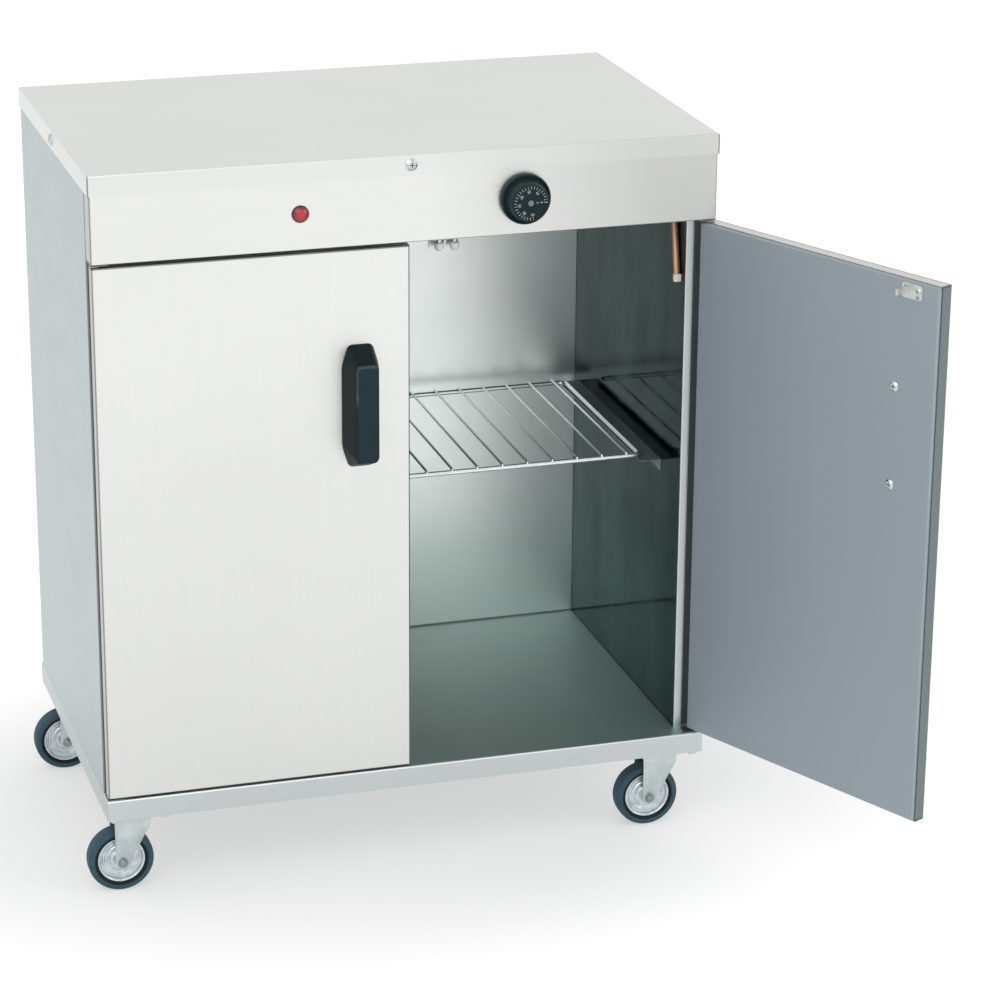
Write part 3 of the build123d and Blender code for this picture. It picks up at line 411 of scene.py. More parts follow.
# Painted shade: the outer sides are coloured darker and bluer than the same steel in front.
side_steel = brushed("side_steel_along_y", (0.505, 0.57, 0.59), 0.38, "y", depth=0.03, marks_and_painted_light=side_bend_shade)
left_door_steel = brushed("left_door_steel", (0.83, 0.84, 0.81), 0.36, "z", depth=0.025,
                          marks_and_painted_light=painted_front_shade(0.373, (0.15, 0.87), (0.70, 1.0), door=True, returns=0.66))
# The open right door's returns are painted darker than the left's.
right_door_steel = brushed("right_door_steel", (0.83, 0.84, 0.81), 0.36, "z", depth=0.025,
                           marks_and_painted_light=painted_front_shade(0.373, (0.15, 0.87), (0.70, 1.0), turn=OPEN, door=True, returns=0.50))
# Painted shade: the inner walls' steel is coloured nearly black and mirrors less at a flat angle, for the dark inside.
wall_steel = brushed("inside_wall_steel", (0.058, 0.078, 0.077), 0.055, "z", depth=0.06, cloud=0.06, relief=0.0,
                     marks_and_painted_light=wall_streaks_and_painted_light, grazing=(0.56, 0.585, 0.585))
runner_steel = brushed("shelf_runner_steel", (0.20, 0.255, 0.25), 0.34, "y", depth=0.45, cloud=0.10, metallic=0.45,
                       relief=0.05)
# Painted light: the inner back is coloured near white, far paler than the dark inner walls of the same liner.
back_steel = brushed("inside_back_steel", (0.95, 1.0, 0.975), 0.35, "z", depth=0.02, cloud=0.03, relief=0.0,
                     marks_and_painted_light=back_foot_shade)
dark_steel = brushed("inside_shaded_steel", (0.20, 0.24, 0.23), 0.30, "x", depth=0.05, cloud=0.05, relief=0.02)
inner_skin = brushed("door_inner_satin_steel", (0.36, 0.425, 0.47), 0.52, "x", depth=0.035, metallic=0.42)
galvanised = plated("galvanised_sheet", (0.62, 0.64, 0.64), 0.45, 0.10)
zinc = plated("zinc_plate", (0.60, 0.655, 0.66), 0.34, 0.09)
fork_zinc = plated("fork_zinc_plate", (0.56, 0.62, 0.625), 0.30, 0.14)
hinge_zinc = plated("hinge_zinc_plate", (0.16, 0.18, 0.18), 0.42, 0.09)
strike_zinc = plated("strike_zinc_plate", (0.66, 0.68, 0.66), 0.30, 0.16)
bolt_zinc = plated("axle_bolt_zinc", (0.30, 0.36, 0.39), 0.30, 0.12)
bright = plated("bright_screws", (0.62, 0.65, 0.66), 0.22, 0.08)
recess_shade = moulded("screw_recess_shade", (0.035, 0.040, 0.040), 0.7, gloss=0.1)
chrome_wire = plated("bright_wire", (0.86, 0.90, 0.90), 0.20, 0.05, metallic=0.85)
dark_plastic = moulded("dark_handle_plastic", (0.011, 0.030, 0.036), 0.42, gloss=0.14)
# The third colour is the rim's painted highlight.
grip_finish = grip_plastic("dark_grip_plastic", (0.021, 0.040, 0.047), (0.080, 0.120, 0.122))
knob_plastic = moulded("black_knob_plastic", (0.015, 0.029, 0.034), 0.34, 1200.0, 0.05, gloss=0.08)
white_nylon = moulded("white_nylon", (0.86, 0.85, 0.80), 0.45, 500.0, 0.04)
grey_plastic = moulded("grey_plastic", (0.22, 0.23, 0.24), 0.5)
dial_paint = moulded("dial_paint", (0.52, 0.57, 0.57), 0.5, 400.0, 0.03)
dial_cap = moulded("dial_cap_grey", (0.16, 0.21, 0.22), 0.4, 400.0, 0.03)
red_lens = lens_red("red_lamp_lens")
wool = fibrous("mineral_wool", (0.62, 0.58, 0.38))
tyre_rubber = rubber("grey_tyre_rubber", (0.042, 0.098, 0.128), (0.006, 0.012, 0.014))
disc_zinc = spun_zinc("wheel_disc_zinc", (0.80, 0.86, 0.88))
copper = copper_tube("copper_bulb")
element_metal = plated("element_sheath", (0.16, 0.15, 0.14), 0.5, 0.2)

NODE_FINISHES = [
    (outside_steel, "lid"), (panel_steel, "control_panel"), (band_steel, "base_tray"),
    (side_steel, "side_panel_left side_panel_right"), (left_door_steel, "left_door_pan"),
    (right_door_steel, "right_door_pan"), (inner_skin, "left_door_inner right_door_inner"),
    (wall_steel, "liner_left liner_right"), (back_steel, "liner_back"), (dark_steel, "ceiling_panel header_bar"),
    (runner_steel, "shelf_runners"), (galvanised, "back_panel base_plate"),
    (bright, "panel_screws caster_bolts left_handle_screws right_handle_screws"), (hinge_zinc, "hinge_plates"),
    (strike_zinc, "left_strike right_strike"), (zinc, "catch_brackets caster_plates element_clips thermostat_shaft"),
    (chrome_wire, "wire_shelf"), (grey_plastic, "thermostat_body"), (knob_plastic, "thermostat_knob"),
    (white_nylon, "catch_rollers bulb_clip left_door_bushes right_door_bushes terminal_block"),
    (dark_plastic, "left_handle right_handle lamp_body cable_gland"), (red_lens, "lamp_lens"),
    (wool, "wall_insulation"), (copper, "thermostat_bulb"), (element_metal, "heating_element")]
for corner in CASTERS:
    NODE_FINISHES += [(fork_zinc, "fork_" + corner), (disc_zinc, "rim_" + corner), (bolt_zinc, "axle_" + corner),
                      (tyre_rubber, "tyre_" + corner)]
for finish, names in NODE_FINISHES:
    for node in names.split():
        nodes[node].data.materials.clear()
        nodes[node].data.materials.append(finish)


# ---------------------------------------------------------------- surfaces


def placed(name, data):
    """A new object in the scene."""
    thing = bpy.data.objects.new(name, data)
    bpy.context.scene.collection.objects.link(thing)
    return thing


def final_mesh(thing):
    """A copy of an object's mesh as its modifiers or its curve leave it."""
    bpy.context.view_layer.update()
    return bpy.data.meshes.new_from_object(thing.evaluated_get(bpy.context.evaluated_depsgraph_get()))


def turned_out(mesh, merge=0.0, sliver=0.0, flat=0.0):
    """Merges points within merge, drops edges within sliver, joins faces within the angle flat, turns faces out."""
    work = bmesh.new()
    work.from_mesh(mesh)
    if merge:
        bmesh.ops.remove_doubles(work, verts=work.verts, dist=merge)
    if sliver:
        bmesh.ops.dissolve_degenerate(work, edges=work.edges, dist=sliver)
    if flat:
        bmesh.ops.dissolve_limit(work, angle_limit=flat, verts=work.verts, edges=work.edges)
    bmesh.ops.recalc_face_normals(work, faces=work.faces)
    work.to_mesh(mesh)
    work.free()


def smoothed(mesh, degrees):
    """Smooth shading, but for edges sharper than the angle."""
    mesh.polygons.foreach_set("use_smooth", np.ones(len(mesh.polygons), dtype=bool))
    mesh.set_sharp_from_angle(angle=math.radians(degrees))


def piece(name, points, faces, finish, body, stands_for=(), uv=None, caps=()):
    """One mesh from arrays: equal points merged, faces turned outwards, smooth, riding on its body."""
    mesh = bpy.data.meshes.new(name)
    mesh.from_pydata(points.tolist(), [], faces.tolist() + [list(cap) for cap in caps])
    if uv is not None:
        layer = mesh.uv_layers.new(name="UVMap")
        corner = np.empty(len(mesh.loops), dtype=np.int32)
        mesh.loops.foreach_get("vertex_index", corner)
        layer.data.foreach_set("uv", uv[corner].astype(np.float32).ravel())
    turned_out(mesh, merge=1e-7, sliver=1e-8)
    smoothed(mesh, 38)
    return fitted(name, mesh, finish, body, stands_for)


def fitted(name, mesh, finish, body, stands_for=()):
    """Puts a mesh in the scene with its finish, on its body, in place of the nodes that it stands for."""
    mesh.materials.clear()
    mesh.materials.append(finish)
    thing = placed(name, mesh)
    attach(thing, body)
    if stands_for:
        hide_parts(*stands_for)
    return thing


def eased(node, body, width):
    """The same piece with its edges eased: its solid mesh, points merged and flat faces joined, then a small bevel."""
    source = nodes[node]
    mesh = source.data.copy()
    mesh.transform(source.matrix_world)
    turned_out(mesh, merge=1e-6, flat=math.radians(1.0))
    smoothed(mesh, 30)
    thing = fitted("eased_" + node, mesh, source.data.materials[0], body, [node])
    bevel = thing.modifiers.new("eased_edges", "BEVEL")
    bevel.width, bevel.segments, bevel.limit_method, bevel.angle_limit = width, 2, "ANGLE", math.radians(40)
    bevel.use_clamp_overlap = True
    bevel.harden_normals = True


def at_rest(points, door):
    """Points of the shut left door carried to either door at rest; the right one is mirrored and turned open."""
    if door != "right":
        return points
    mirrored = points * np.array((-1.0, 1.0, 1.0)) - np.array(HINGE)
    c, s = math.cos(OPEN), math.sin(OPEN)
    return mirrored @ np.array(((c, s, 0.0), (-s, c, 0.0), (0.0, 0.0, 1.0))) + np.array(HINGE)


def quads(rows, columns, close_rows, close_columns):
    """Faces of a grid numbered row by row, between each two neighbours in a row and the two next to them.

    Where rows or columns close, the last one is joined to the first.
    """
    index = np.arange(rows * columns).reshape(rows, columns)
    if close_rows:
        index = np.vstack([index, index[:1]])
    if close_columns:
        index = np.hstack([index, index[:, :1]])
    return np.stack([index[:-1, :-1], index[1:, :-1], index[1:, 1:], index[:-1, 1:]], axis=-1).reshape(-1, 4)


def rounded(points, radius, steps=5):
    """Each corner becomes the parabola that leaves one side and meets the next at the radius from the corner."""
    corner = np.asarray(points, dtype=float)
    before, after = np.roll(corner, 1, axis=0) - corner, np.roll(corner, -1, axis=0) - corner
    long_before = np.linalg.norm(before, axis=1, keepdims=True) + 1e-12
    long_after = np.linalg.norm(after, axis=1, keepdims=True) + 1e-12
    cut = np.minimum(np.broadcast_to(radius, len(corner))[:, None], 0.45 * np.minimum(long_before, long_after))
    first = (corner + before / long_before * cut)[:, None]
    last = (corner + after / long_after * cut)[:, None]
    share = np.linspace(0, 1, steps)[None, :, None]
    curve = (1 - share) ** 2 * first + 2 * share * (1 - share) * corner[:, None] + share ** 2 * last
    return curve.reshape(-1, corner.shape[1])


def turned(profile, centre, axis, turns=96, closed=True):
    """Surface of revolution: centre + height * axis + radius * (cos a * side + sin a * up) for each profile point.

    Returns points, faces and a map of (angle share, radius share).
    """
    profile = np.asarray(profile) * MM
    axis = np.asarray(axis, dtype=float)
    side = np.cross(axis, (0.0, 0.0, 1.0)) if abs(axis[2]) < 0.9 else np.array((1.0, 0.0, 0.0))
    side = side / np.linalg.norm(side)
    up = np.cross(axis, side)
    angle = np.linspace(0, 2 * np.pi, turns, endpoint=False)
    around = np.cos(angle)[:, None] * side + np.sin(angle)[:, None] * up
    radius, height = profile[:, 0], profile[:, 1]
    points = np.asarray(centre) + height[None, :, None] * axis + radius[None, :, None] * around[:, None, :]
    reach = (radius - radius.min()) / (radius.max() - radius.min())
    uv = np.stack([np.repeat(angle / (2 * np.pi), len(radius)), np.tile(reach, turns)], axis=-1)
    return points.reshape(-1, 3), quads(turns, len(radius), True, closed), uv


def tube(path, radius, up, sides, closed=False):
    """Round section carried along a path: path + radius * (cos a * up' + sin a * across), square to the path.

    across = path direction x up, and up' = across x path direction. radius may be one per point.
    """
    path = np.asarray(path, dtype=float)
    if closed:
        ahead = np.roll(path, -1, axis=0) - np.roll(path, 1, axis=0)
    else:
        ahead = np.gradient(path, axis=0)
    ahead /= np.linalg.norm(ahead, axis=1, keepdims=True)
    across = np.cross(ahead, up)
    across /= np.linalg.norm(across, axis=1, keepdims=True)
    lift = np.cross(across, ahead)
    angle = np.linspace(0, 2 * np.pi, sides, endpoint=False)
    ring = np.cos(angle)[None, :, None] * lift[:, None] + np.sin(angle)[None, :, None] * across[:, None]
    thick = np.broadcast_to(radius, len(path))[:, None, None]
    return (path[:, None] + thick * ring).reshape(-1, 3), quads(len(path), sides, closed, True)


def joined(parts):
    """Several (points, faces) made one: each part's faces are raised by the number of points before it."""
    sizes = np.cumsum([0] + [len(part[0]) for part in parts])
    faces = np.concatenate([part[1] + size for part, size in zip(parts, sizes)])
    return np.concatenate([part[0] for part in parts]), faces


def round_ended(start, end, radius, steps=6):
    """Straight path with half-round ends: the radius follows a quarter circle over its own length at each end."""
    start, end = np.asarray(start, dtype=float), np.asarray(end, dtype=float)
    length = np.linalg.norm(end - start)
    quarter = radius * (1 - np.cos(np.linspace(0.02, np.pi / 2, steps)))
    along = np.concatenate([[0.0], quarter, length - quarter[::-1], [length]])
    inside = np.minimum(np.minimum(along, length - along), radius)
    thick = np.sqrt(np.maximum(radius ** 2 - (radius - inside) ** 2, 0))
    return start + (end - start) * (along / length)[:, None], thick


# ---------------------------------------------------------------- pieces


def wheel(corner, x, y):
    """Tyre and pressed disc of one caster, turned about the wheel's axle."""
    centre, axle = (x - TRAIL, y, AXLE_HEIGHT), (0, 1, 0)
    side = [(29.0, 9.6), (30.2, 11.2), (32.0, 11.5), (32.8, 11.0), (33.6, 11.5), (36.0, 11.4), (38.6, 10.2),
            (39.7, 8.4), (39.98, 5.0)]
    tyre = side + [(radius, -height) for radius, height in reversed(side)]
    points, faces, uv = turned(rounded(tyre, 1.2), centre, axle, 128)
    piece("tyre_ring_" + corner, points, faces, tyre_rubber, "wheel_" + corner, ["tyre_" + corner], uv)
    half = [(4.05, 15.0), (7.4, 15.0), (8.0, 14.2), (8.8, 5.2), (10.5, 3.6), (13.0, 3.2), (14.4, 4.6), (15.8, 4.6),
            (17.0, 3.0), (19.2, 3.0), (20.4, 4.8), (22.0, 4.8), (23.4, 2.8), (25.2, 3.4), (26.4, 8.8), (27.2, 9.4),
            (28.7, 9.4), (28.9, 8.8)]
    disc = half + [(radius, -height) for radius, height in reversed(half)]
    points, faces, uv = turned(rounded(disc, 0.7, 4), centre, axle, 96)
    piece("wheel_disc_" + corner, points, faces, disc_zinc, "wheel_" + corner, ["rim_" + corner], uv)


def eased_plate(outline, low, high, lie):
    """A flat plate: its outline at six levels, pulled in by the easing at both faces, and the two faces closed.

    The pull-in goes along each point's inward normal, which is square to the line between its neighbours. lie gives
    the frame axes that the outline's two axes and its thickness lie along.
    """
    outline = np.asarray(outline)
    ahead = np.roll(outline, -1, axis=0) - np.roll(outline, 1, axis=0)
    inward = np.stack([-ahead[:, 1], ahead[:, 0]], axis=-1) / np.linalg.norm(ahead, axis=1, keepdims=True)
    area = np.sum(outline[:, 0] * np.roll(outline[:, 1], -1) - np.roll(outline[:, 0], -1) * outline[:, 1])
    inward *= np.sign(area)
    ease = 0.6
    rings = [(low, ease), (low + 0.2, 0.2), (low + ease, 0.0), (high - ease, 0.0), (high - 0.2, 0.2), (high, ease)]
    count = len(outline)
    levels = [np.column_stack([outline + inward * pull, np.full(count, level)]) for level, pull in rings]
    caps = [range(count), range(5 * count, 6 * count)]
    return np.concatenate(levels)[:, np.argsort(lie)], quads(len(rings), count, False, True), caps


def fork(corner, x, y):
    """Pressed fork: a crown plate and two legs, upright in front, sloped behind and round about the axle."""
    round_end = np.radians(np.linspace(180, 330, 14))
    end = np.stack([-20.1 + 8.4 * np.cos(round_end), 40.0 + 8.4 * np.sin(round_end)], axis=-1)
    leg = np.vstack([[(-28.5, 96.2), (-28.5, 70.0)], end, [(6.5, 72.0), (14.6, 87.0), (14.6, 96.2)]])
    crown = rounded([(-28.5, -18.4), (17.6, -18.4), (17.6, 18.4), (-28.5, 18.4)], 6.0, 7)
    parts = [eased_plate(leg, -18.5, -16.0, (0, 2, 1)), eased_plate(leg, 16.0, 18.5, (0, 2, 1)),
             eased_plate(crown, 94.0, 96.5, (0, 1, 2))]
    points, faces = joined(parts)
    starts = np.cumsum([0] + [len(part[0]) for part in parts])
    caps = [[index + start for index in cap] for part, start in zip(parts, starts) for cap in part[2]]
    piece("pressed_fork_" + corner, points * MM + np.array((x, y, 0)), faces, fork_zinc, "caster_" + corner,
          ["fork_" + corner], caps=caps)


def axle(corner, x, y):
    """Axle bolt: round head on a washer in front, plain shank, six-sided nut behind."""
    centre, way = (x - TRAIL, y, AXLE_HEIGHT), (0, -1, 0)
    bolt = [(0, -25.2), (3.2, -25.2), (3.8, -24.6), (3.8, 18.45), (6.2, 18.45), (6.2, 19.3), (4.9, 19.3), (4.7, 21.0),
            (3.9, 22.3), (2.2, 22.9), (0, 22.95)]
    shank = turned(rounded(bolt, [0] + [0.35] * 9 + [0], 4), centre, way, 48, closed=False)
    nut = turned([(3.9, -18.5), (7.6, -18.5), (8.0, -19.0), (8.0, -23.0), (7.6, -23.5), (3.9, -23.5)], centre, way, 6)
    points, faces = joined([shank, nut])
    piece("axle_bolt_" + corner, points, faces, bolt_zinc, "caster_" + corner, ["axle_" + corner])


def knob():
    """Dial knob: a dished flange and a tapered grip, one profile turned about the shaft."""
    profile = [(0, 0), (28.6, 0), (30.0, 1.2), (30.0, 5.2), (29.4, 6.6), (28.2, 7.0), (27.0, 6.4), (25.9, 5.4),
               (25.1, 5.9), (24.6, 8.0), (22.5, 22.2), (21.9, 23.5), (21.2, 24.0), (20.9, 23.8), (0, 23.8)]
    radius = [0.0] + [0.7] * (len(profile) - 2) + [0.0]
    points, faces = turned(rounded(profile, radius, 5), KNOB_BACK, (0, -1, 0), 128, closed=False)[:2]
    piece("dial_knob", points, faces, knob_plastic, "dial", ["thermostat_knob"])


def on_dial(across, up, proud):
    """Millimetres on the dial's face to the frame: across along +X, up along +Z, proud towards the front."""
    return np.stack([KNOB_BACK[0] + across * MM, KNOB_BACK[1] - KNOB_DEPTH - proud * MM + 0 * across,
                     KNOB_BACK[2] + up * MM], axis=-1)


def dial_bars(angles, inner, outer, width, proud=0.14):
    """Raised bars that point at the dial's middle: corners at inner or outer and half the width aside, turned."""
    angles = np.radians(np.asarray(angles, dtype=float))[:, None]
    inner, outer = np.broadcast_to(inner, len(angles)), np.broadcast_to(outer, len(angles))
    reach = np.stack([inner, outer, outer, inner] * 2, axis=-1)
    aside = np.array([-1, -1, 1, 1] * 2) * width / 2
    level = np.array([0.0] * 4 + [proud] * 4)
    across = reach * np.cos(angles) - aside * np.sin(angles)
    up = reach * np.sin(angles) + aside * np.cos(angles)
    points = on_dial(across, up, np.broadcast_to(level, across.shape)).reshape(-1, 3)
    return points, (CUBOID + 8 * np.arange(len(angles))[:, None, None]).reshape(-1, 4)


def dial_discs():
    """Grey cap in the middle and the small dot beside it."""
    front = KNOB_BACK - np.array((0, KNOB_DEPTH, 0))
    cap = rounded([(0, 0), (3.5, 0), (3.5, 0.35), (2.9, 0.6), (0, 0.6)], [0, 0.2, 0.2, 0.2, 0], 4)
    dot = [(0, 0), (1.3, 0), (1.3, 0.14), (0, 0.14)]
    for name, profile, middle, turns in (("dial_cap", cap, front, 48),
                                         ("dial_dot", dot, front + np.array((0.0078, 0, 0.0003)), 32)):
        points, faces = turned(profile, middle, (0, -1, 0), turns, closed=False)[:2]
        piece(name, points, faces, dial_cap, "dial")


def dial_numbers():
    """Plain figures from 40 to 90, counter-clockwise, each standing on the line to the dial's middle."""
    points, faces, count = [], [], 0
    for step, figure in enumerate(("40", "50", "60", "70", "80", "90")):
        curve = bpy.data.curves.new("figure", "FONT")
        curve.body, curve.size, curve.align_x, curve.align_y = figure, 4.3, "CENTER", "CENTER"
        writing = placed("figure", curve)
        flat = final_mesh(writing)
        corner = np.empty(len(flat.vertices) * 3)
        flat.vertices.foreach_get("co", corner)
        corner = corner.reshape(-1, 3)
        angle = math.radians(FIGURE_FIRST + FIGURE_STEP * step)
        out, aside = FIGURE_RADIUS + corner[:, 1], corner[:, 0]
        across = out * math.cos(angle) + aside * math.sin(angle)
        up = out * math.sin(angle) - aside * math.cos(angle)
        points.append(on_dial(across, up, 0.12))
        faces += [[index + count for index in face.vertices] for face in flat.polygons]
        count += len(corner)
        bpy.data.objects.remove(writing)
        bpy.data.curves.remove(curve)
        bpy.data.meshes.remove(flat)
    mesh = bpy.data.meshes.new("dial_figures")
    mesh.from_pydata(np.concatenate(points).tolist(), [], faces)
    fitted("dial_figures", mesh, dial_paint, "dial")


def dial():
    """Knob with its painted scale: long bars at the figures, short bars between, and the off mark."""
    knob()
    last = FIGURE_FIRST + 5 * FIGURE_STEP
    short = np.arange(FIGURE_FIRST - FIGURE_STEP, last + 8, FIGURE_STEP / 4)
    long = np.arange(FIGURE_FIRST - FIGURE_STEP, last + 1, FIGURE_STEP)
    parts = [dial_bars(short, 16.8, 20.2, 0.5), dial_bars(long, 16.0, 20.4, 0.8), dial_bars([1.5], 11.4, 14.2, 1.0),
             dial_bars([0.5], 16.0, 20.3, 0.8)]
    points, faces = joined(parts)
    scale = piece("dial_scale", points, faces, dial_paint, "dial")
    scale.data.polygons.foreach_set("use_smooth", np.zeros(len(faces), dtype=bool))
    dial_discs()
    dial_numbers()


def lamp():
    """Domed lens: a short straight rim, then an arc of a circle up to the middle."""
    rim, rise, middle = 9.3, 4.4, (-0.131, -0.2256, 0.835)
    ball = (rim ** 2 + rise ** 2) / (2 * rise)
    lean = np.linspace(math.asin(rim / ball), 0, 18)
    dome = np.stack([ball * np.sin(lean), ball * np.cos(lean) - ball + rise + 0.05], axis=-1)
    profile = np.vstack([[(0, -0.2), (rim, -0.2)], dome])
    points, faces, uv = turned(profile, middle, (0, -1, 0), 64, closed=False)
    uv[:, 1] = 1 - uv[:, 1]
    piece("lamp_dome", points, faces, red_lens, "cabinet", ["lamp_lens"], uv)


def wire_shelf():
    """Frame wire bent round the corners, and straight rods lying on it, half-round at their ends and welded."""
    thick, rod, level, front, back, reach = 0.0030, 0.0016, 0.468, -0.120, 0.180, 0.322
    pitch, overhang, sunk = 0.032, 0.0021, 0.0006
    weld_thick, weld_reach, weld_drop = 0.0021, 0.0024, 0.0013
    corners = [(reach, front, level), (reach, back, level), (-reach, back, level), (-reach, front, level)]
    frame_path = rounded(corners, 0.010, 12)
    long = np.linalg.norm(np.roll(frame_path, -1, axis=0) - frame_path, axis=1)
    parts = [tube(frame_path[long > 1e-9], thick, (0, 0, 1), 16, closed=True)]
    top = level + thick + rod - sunk
    low = top - weld_drop
    for place in (np.arange(10) + 0.5) * pitch:
        for across in (-place, place):
            path, radius = round_ended((across, front - overhang, top), (across, back + overhang, top), rod)
            parts.append(tube(path, radius, (0, 0, 1), 12))
            for foot in (front, back):
                start, end = (across, foot - weld_reach, low), (across, foot + weld_reach, low)
                weld, bulge = round_ended(start, end, weld_thick)
                parts.append(tube(weld, bulge, (0, 0, 1), 10))
    points, faces = joined(parts)
    piece("shelf_wires", points, faces, chrome_wire, "shelf", ["wire_shelf"])


def sensing_bulb():
    """Copper bulb, half-round at its lower end and necked down above to the thin tube that runs to the thermostat."""
    low, high, thick, thin = np.array((0.341, -0.183, 0.712)), np.array((0.341, -0.161, 0.814)), 0.0035, 0.0010
    quarter = np.linspace(0.1, np.pi / 2, 7)
    share = np.concatenate([[0], 0.034 * (1 - np.cos(quarter)), np.linspace(0.06, 0.95, 12), [0.965, 0.98, 1.0]])
    radius = np.concatenate([[0], thick * np.sin(quarter), np.full(12, thick), [0.0031, 0.0018, thin]])
    bulb = tube(low + (high - low) * share[:, None], radius, (1, 0, 0), 24)
    route = [(0.341, -0.1614, 0.812), (0.341, -0.161, 0.831), (0.137, -0.161, 0.831), (0.137, -0.1897, 0.831)]
    bend = rounded(route, [0, 0.010, 0.010, 0], 9)
    bend = bend[np.linalg.norm(np.roll(bend, -1, axis=0) - bend, axis=1) > 1e-9]
    radius = np.full(len(bend), thin)
    radius[[0, -1]] = 0
    parts = [bulb, tube(bend, radius, (0.31, 0.52, 0.1), 10)]
    points, faces = joined(parts)
    piece("sensing_bulb", points, faces, copper, "cabinet", ["thermostat_bulb"])


def handle(door):
    """Moulded grip: eight-cornered outlines that narrow from the door to the face, rounded at the face.

    Each outline runs round a rounded polygon. Its half width, top and bottom go in a straight line from base to face,
    and near the face they pull in by radius * (1 - cos a) while the depth gains radius * sin a. The map is the share of
    the way round and from base to face. The finger recess is a wedge cut from the side that faces the other door.
    """
    depth, soft = 36.0, 3.6
    lean = np.linspace(0, np.pi / 2, 7)
    levels = np.concatenate([[0.0, 0.6], np.linspace(2.5, depth - soft, 9), depth - soft + soft * np.sin(lean[1:])])
    pull = np.concatenate([[0.6, 0.0], np.zeros(9), soft * (1 - np.cos(lean[1:]))])
    rings = []
    for level, inset in zip(levels, pull):
        share = min(1.0, level / depth)
        half = 22.5 - 9.3 * share - inset
        top, bottom = 75.0 - 17.6 * share - inset, -75.0 + 15.0 * share + inset
        across, along = 8.0 - 5.6 * share, 26.0 - 22.6 * share
        corners = [(-half, bottom + along), (-half + across, bottom), (half - across, bottom), (half, bottom + along),
                   (half, top - along), (half - across, top), (-half + across, top), (-half, top - along)]
        outline = rounded(corners, 6.0 - 3.4 * share, 6)
        rings.append(np.stack([outline[:, 0], np.full(len(outline), -level), outline[:, 1]], axis=-1))
    count, last = len(rings[0]), len(rings) - 1
    around, outward = np.tile(np.arange(count) / count, last + 1), np.repeat(np.arange(last + 1) / last, count)
    grip = piece(door + "_grip", at_rest(np.concatenate(rings) * MM + GRIP, door), quads(last + 1, count, False, True),
                 grip_finish, door + "_door", [door + "_handle"],
                 np.stack([around, outward], axis=-1), [range(count), range(last * count, (last + 1) * count)])
    wedge = np.array([(45, 1), (-19, 1), (-9.5, -32.5), (45, -32.5)])
    cut = np.concatenate([np.column_stack([wedge, np.full(4, height)]) for height in (-47.0, 47.0)]) * MM + GRIP
    mould = bpy.data.meshes.new("recess_mould")
    mould.from_pydata(at_rest(cut, door).tolist(), [], quads(2, 4, False, True).tolist() + [[0, 1, 2, 3], [4, 5, 6, 7]])
    turned_out(mould)
    core = placed("recess_mould", mould)
    opening = grip.modifiers.new("finger_recess", "BOOLEAN")
    opening.operation, opening.solver, opening.object = "DIFFERENCE", "EXACT", core
    cut_mesh = final_mesh(grip)
    grip.modifiers.clear()
    grip.data = cut_mesh
    bpy.data.objects.remove(core)


def recesses(name, body, places, length, width, height, door="left"):
    """The shaded floor of each crossed screw slot: two thin bars across each head, height out from the sheet.

    places holds (point, way out). A bar's corner is point + height * way + a * along + b * across, in millimetres.
    """
    half_thick = 0.12
    corner = np.array([(a, b, c) for c in (-half_thick, half_thick) for a, b in ((-1, -1), (1, -1), (1, 1), (-1, 1))])
    parts = []
    for point, way in places:
        way, across = np.array(way, dtype=float), np.array((0.0, 0.0, 1.0))
        along = np.cross(across, way)
        for first, second in ((along, across), (across, along)):
            bar = corner[:, :1] * length / 2 * first + corner[:, 1:2] * width / 2 * second
            parts.append((np.array(point) + (bar + (corner[:, 2:] + height) * way) * MM, CUBOID))
    points, faces = joined(parts)
    piece(name, at_rest(points, door), faces, recess_shade, body)


for corner, (x, y) in CASTERS.items():
    wheel(corner, x, y)
    fork(corner, x, y)
    axle(corner, x, y)
dial()
lamp()
wire_shelf()
sensing_bulb()
lid_screws = [((0, -0.225, 0.884), (0, -1, 0)), ((0, 0.225, 0.884), (0, 1, 0)), ((-0.375, 0, 0.884), (-1, 0, 0)),
              ((0.375, 0, 0.884), (1, 0, 0))]
back_screws = [((side * 0.3635, 0.224, 0.170 + row * 0.664 / 3), (0, 1, 0)) for row in range(4) for side in (-1, 1)]
recesses("panel_screw_recesses", "cabinet", lid_screws + back_screws, length=5.9, width=0.95, height=2.45)
for door in ("left", "right"):
    handle(door)
    heads = [((-0.062, -0.204, 0.600 + side * 0.059), (0, 1, 0)) for side in (-1, 1)]
    recesses(door + "_handle_screw_recesses", door + "_door", heads, length=6.3, width=1.15, height=1.85, door=door)
    eased(door + "_strike", door + "_door", width=0.0003)
eased("catch_brackets", "cabinet", width=0.0003)
eased("catch_rollers", "cabinet", width=0.0006)
eased("bulb_clip", "cabinet", width=0.0004)


# ---------------------------------------------------------------- floor, lamps, camera


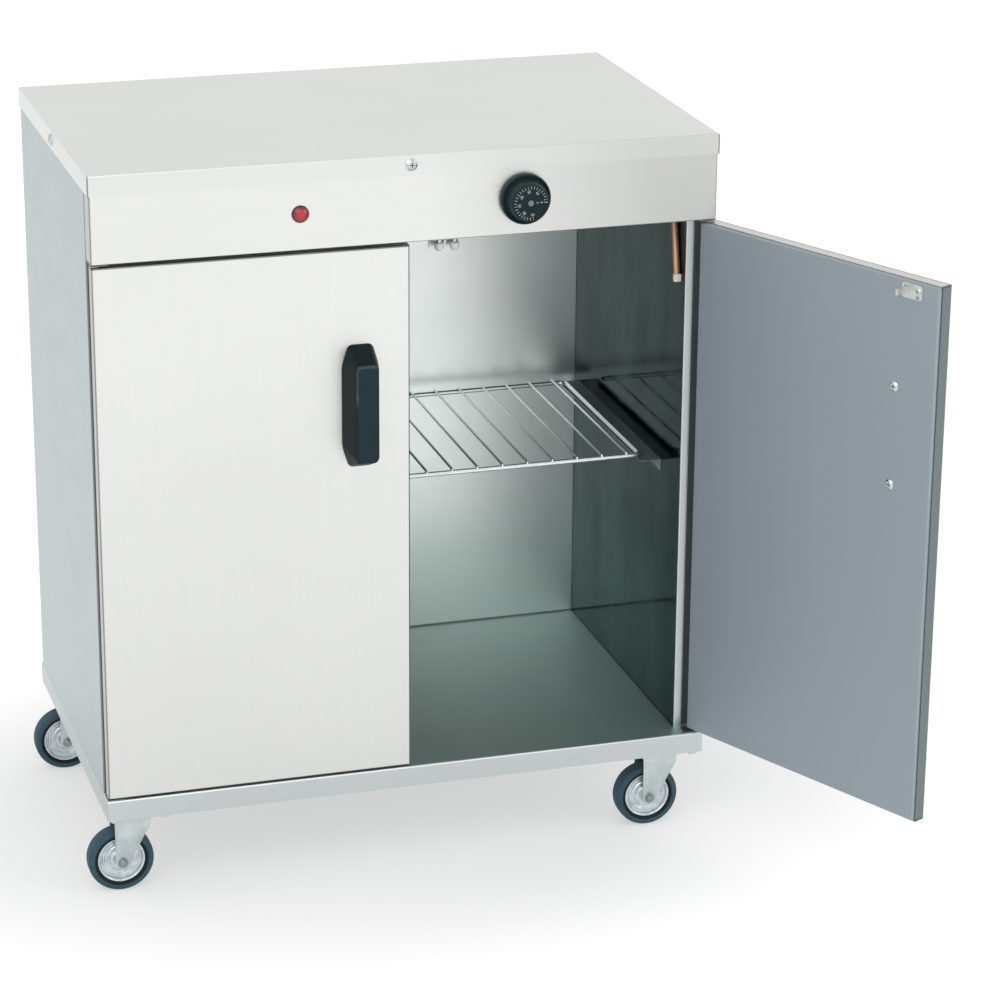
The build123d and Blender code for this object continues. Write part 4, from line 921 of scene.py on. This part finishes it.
def pale_floor():
    """A flat pale floor, white where it is seen or mirrored, and plain matt under the cabinet, where its shadow lies.

    The white's share rises smoothly with the distance from the middle, measured in an oval.
    """
    reach, oval = 30.0, (0.52, 0.37)
    corners = [(-reach, -reach, 0), (reach, -reach, 0), (reach, reach, 0), (-reach, reach, 0)]
    mesh = bpy.data.meshes.new("floor")
    mesh.from_pydata(corners, [], [(0, 1, 2, 3)])
    material = bpy.data.materials.new("pale_floor")
    mesh.materials.append(material)
    look = Look(material)
    look.tree.nodes.clear()
    out = look.add("ShaderNodeOutputMaterial")
    matt = look.add("ShaderNodeBsdfDiffuse", {"Color": (0.86, 0.86, 0.86, 1)})
    white = look.add("ShaderNodeEmission", {"Strength": 1.13})
    path = look.add("ShaderNodeLightPath")
    seen = look.maths("MAXIMUM", path.outputs["Is Camera Ray"], path.outputs["Is Glossy Ray"])
    measured = look.add("ShaderNodeVectorMath", {1: (1 / oval[0], 1 / oval[1], 0)}, operation="MULTIPLY")
    distance = look.add("ShaderNodeVectorMath", operation="LENGTH")
    look.join(look.add("ShaderNodeTexCoord").outputs["Object"], measured.inputs[0])
    look.join(measured.outputs["Vector"], distance.inputs[0])
    outward = look.span(distance.outputs["Value"], 0.43, 0.87, from_low=0.75, from_high=1.7, easing="SMOOTHSTEP")
    share = look.times(seen, outward)
    blend = look.add("ShaderNodeMixShader")
    for source, socket in zip((share, matt.outputs[0], white.outputs[0]), blend.inputs):
        look.join(source, socket)
    look.join(blend.outputs[0], out.inputs["Surface"])
    floor = placed("floor", mesh)


def pale_world():
    """Even studio light: white where it is seen directly, a little less where it is mirrored."""
    world = bpy.data.worlds.new("studio")
    look = Look(world)
    background = look.tree.nodes["Background"]
    background.inputs["Color"].default_value = (1, 1, 1, 1)
    path = look.add("ShaderNodeLightPath")
    lit = look.span(path.outputs["Is Glossy Ray"], 0.62, 0.88)
    look.join(look.maths("MAXIMUM", lit, path.outputs["Is Camera Ray"]), background.inputs["Strength"])
    bpy.context.scene.world = world


def softbox(name, place, target, size, watts):
    """A rectangular area lamp aimed at a point."""
    light = bpy.data.lights.new(name, "AREA")
    light.shape = "RECTANGLE"
    light.size, light.size_y = size
    light.energy = watts
    thing = placed(name, light)
    thing.location = place
    thing.rotation_euler = (Vector(target) - Vector(place)).to_track_quat("-Z", "Y").to_euler()


def studio_camera():
    """Long lens in front of the left door, a little above the lid."""
    azimuth, elevation, roll, distance = math.radians(-17.15), math.radians(19.97), math.radians(0.46), 4.131
    level = math.cos(elevation)
    back = Vector((math.sin(azimuth) * level, -math.cos(azimuth) * level, math.sin(elevation)))
    lens_to_sensor = 3.466
    data = bpy.data.cameras.new("camera")
    data.sensor_width = 36.0
    data.lens = lens_to_sensor * data.sensor_width
    data.clip_start, data.clip_end = 0.1, 100.0
    camera = placed("camera", data)
    camera.location = Vector((0.1089, -0.225, 0.4659)) + back * distance
    turn = (-back).to_track_quat("-Z", "Y").to_matrix() @ Matrix.Rotation(roll, 3, "Z")
    camera.rotation_euler = turn.to_euler()
    bpy.context.scene.camera = camera


pale_floor()
pale_world()
softbox("key_softbox", (-1.6, -2.6, 2.9), (0, 0, 0.5), size=(4.2, 3.2), watts=49)
softbox("fill_softbox", (2.6, -1.8, 1.8), (0.2, 0, 0.5), size=(1.8, 1.8), watts=16)
studio_camera()
bpy.context.scene.view_settings.view_transform = "Standard"

bpy.context.view_layer.update()
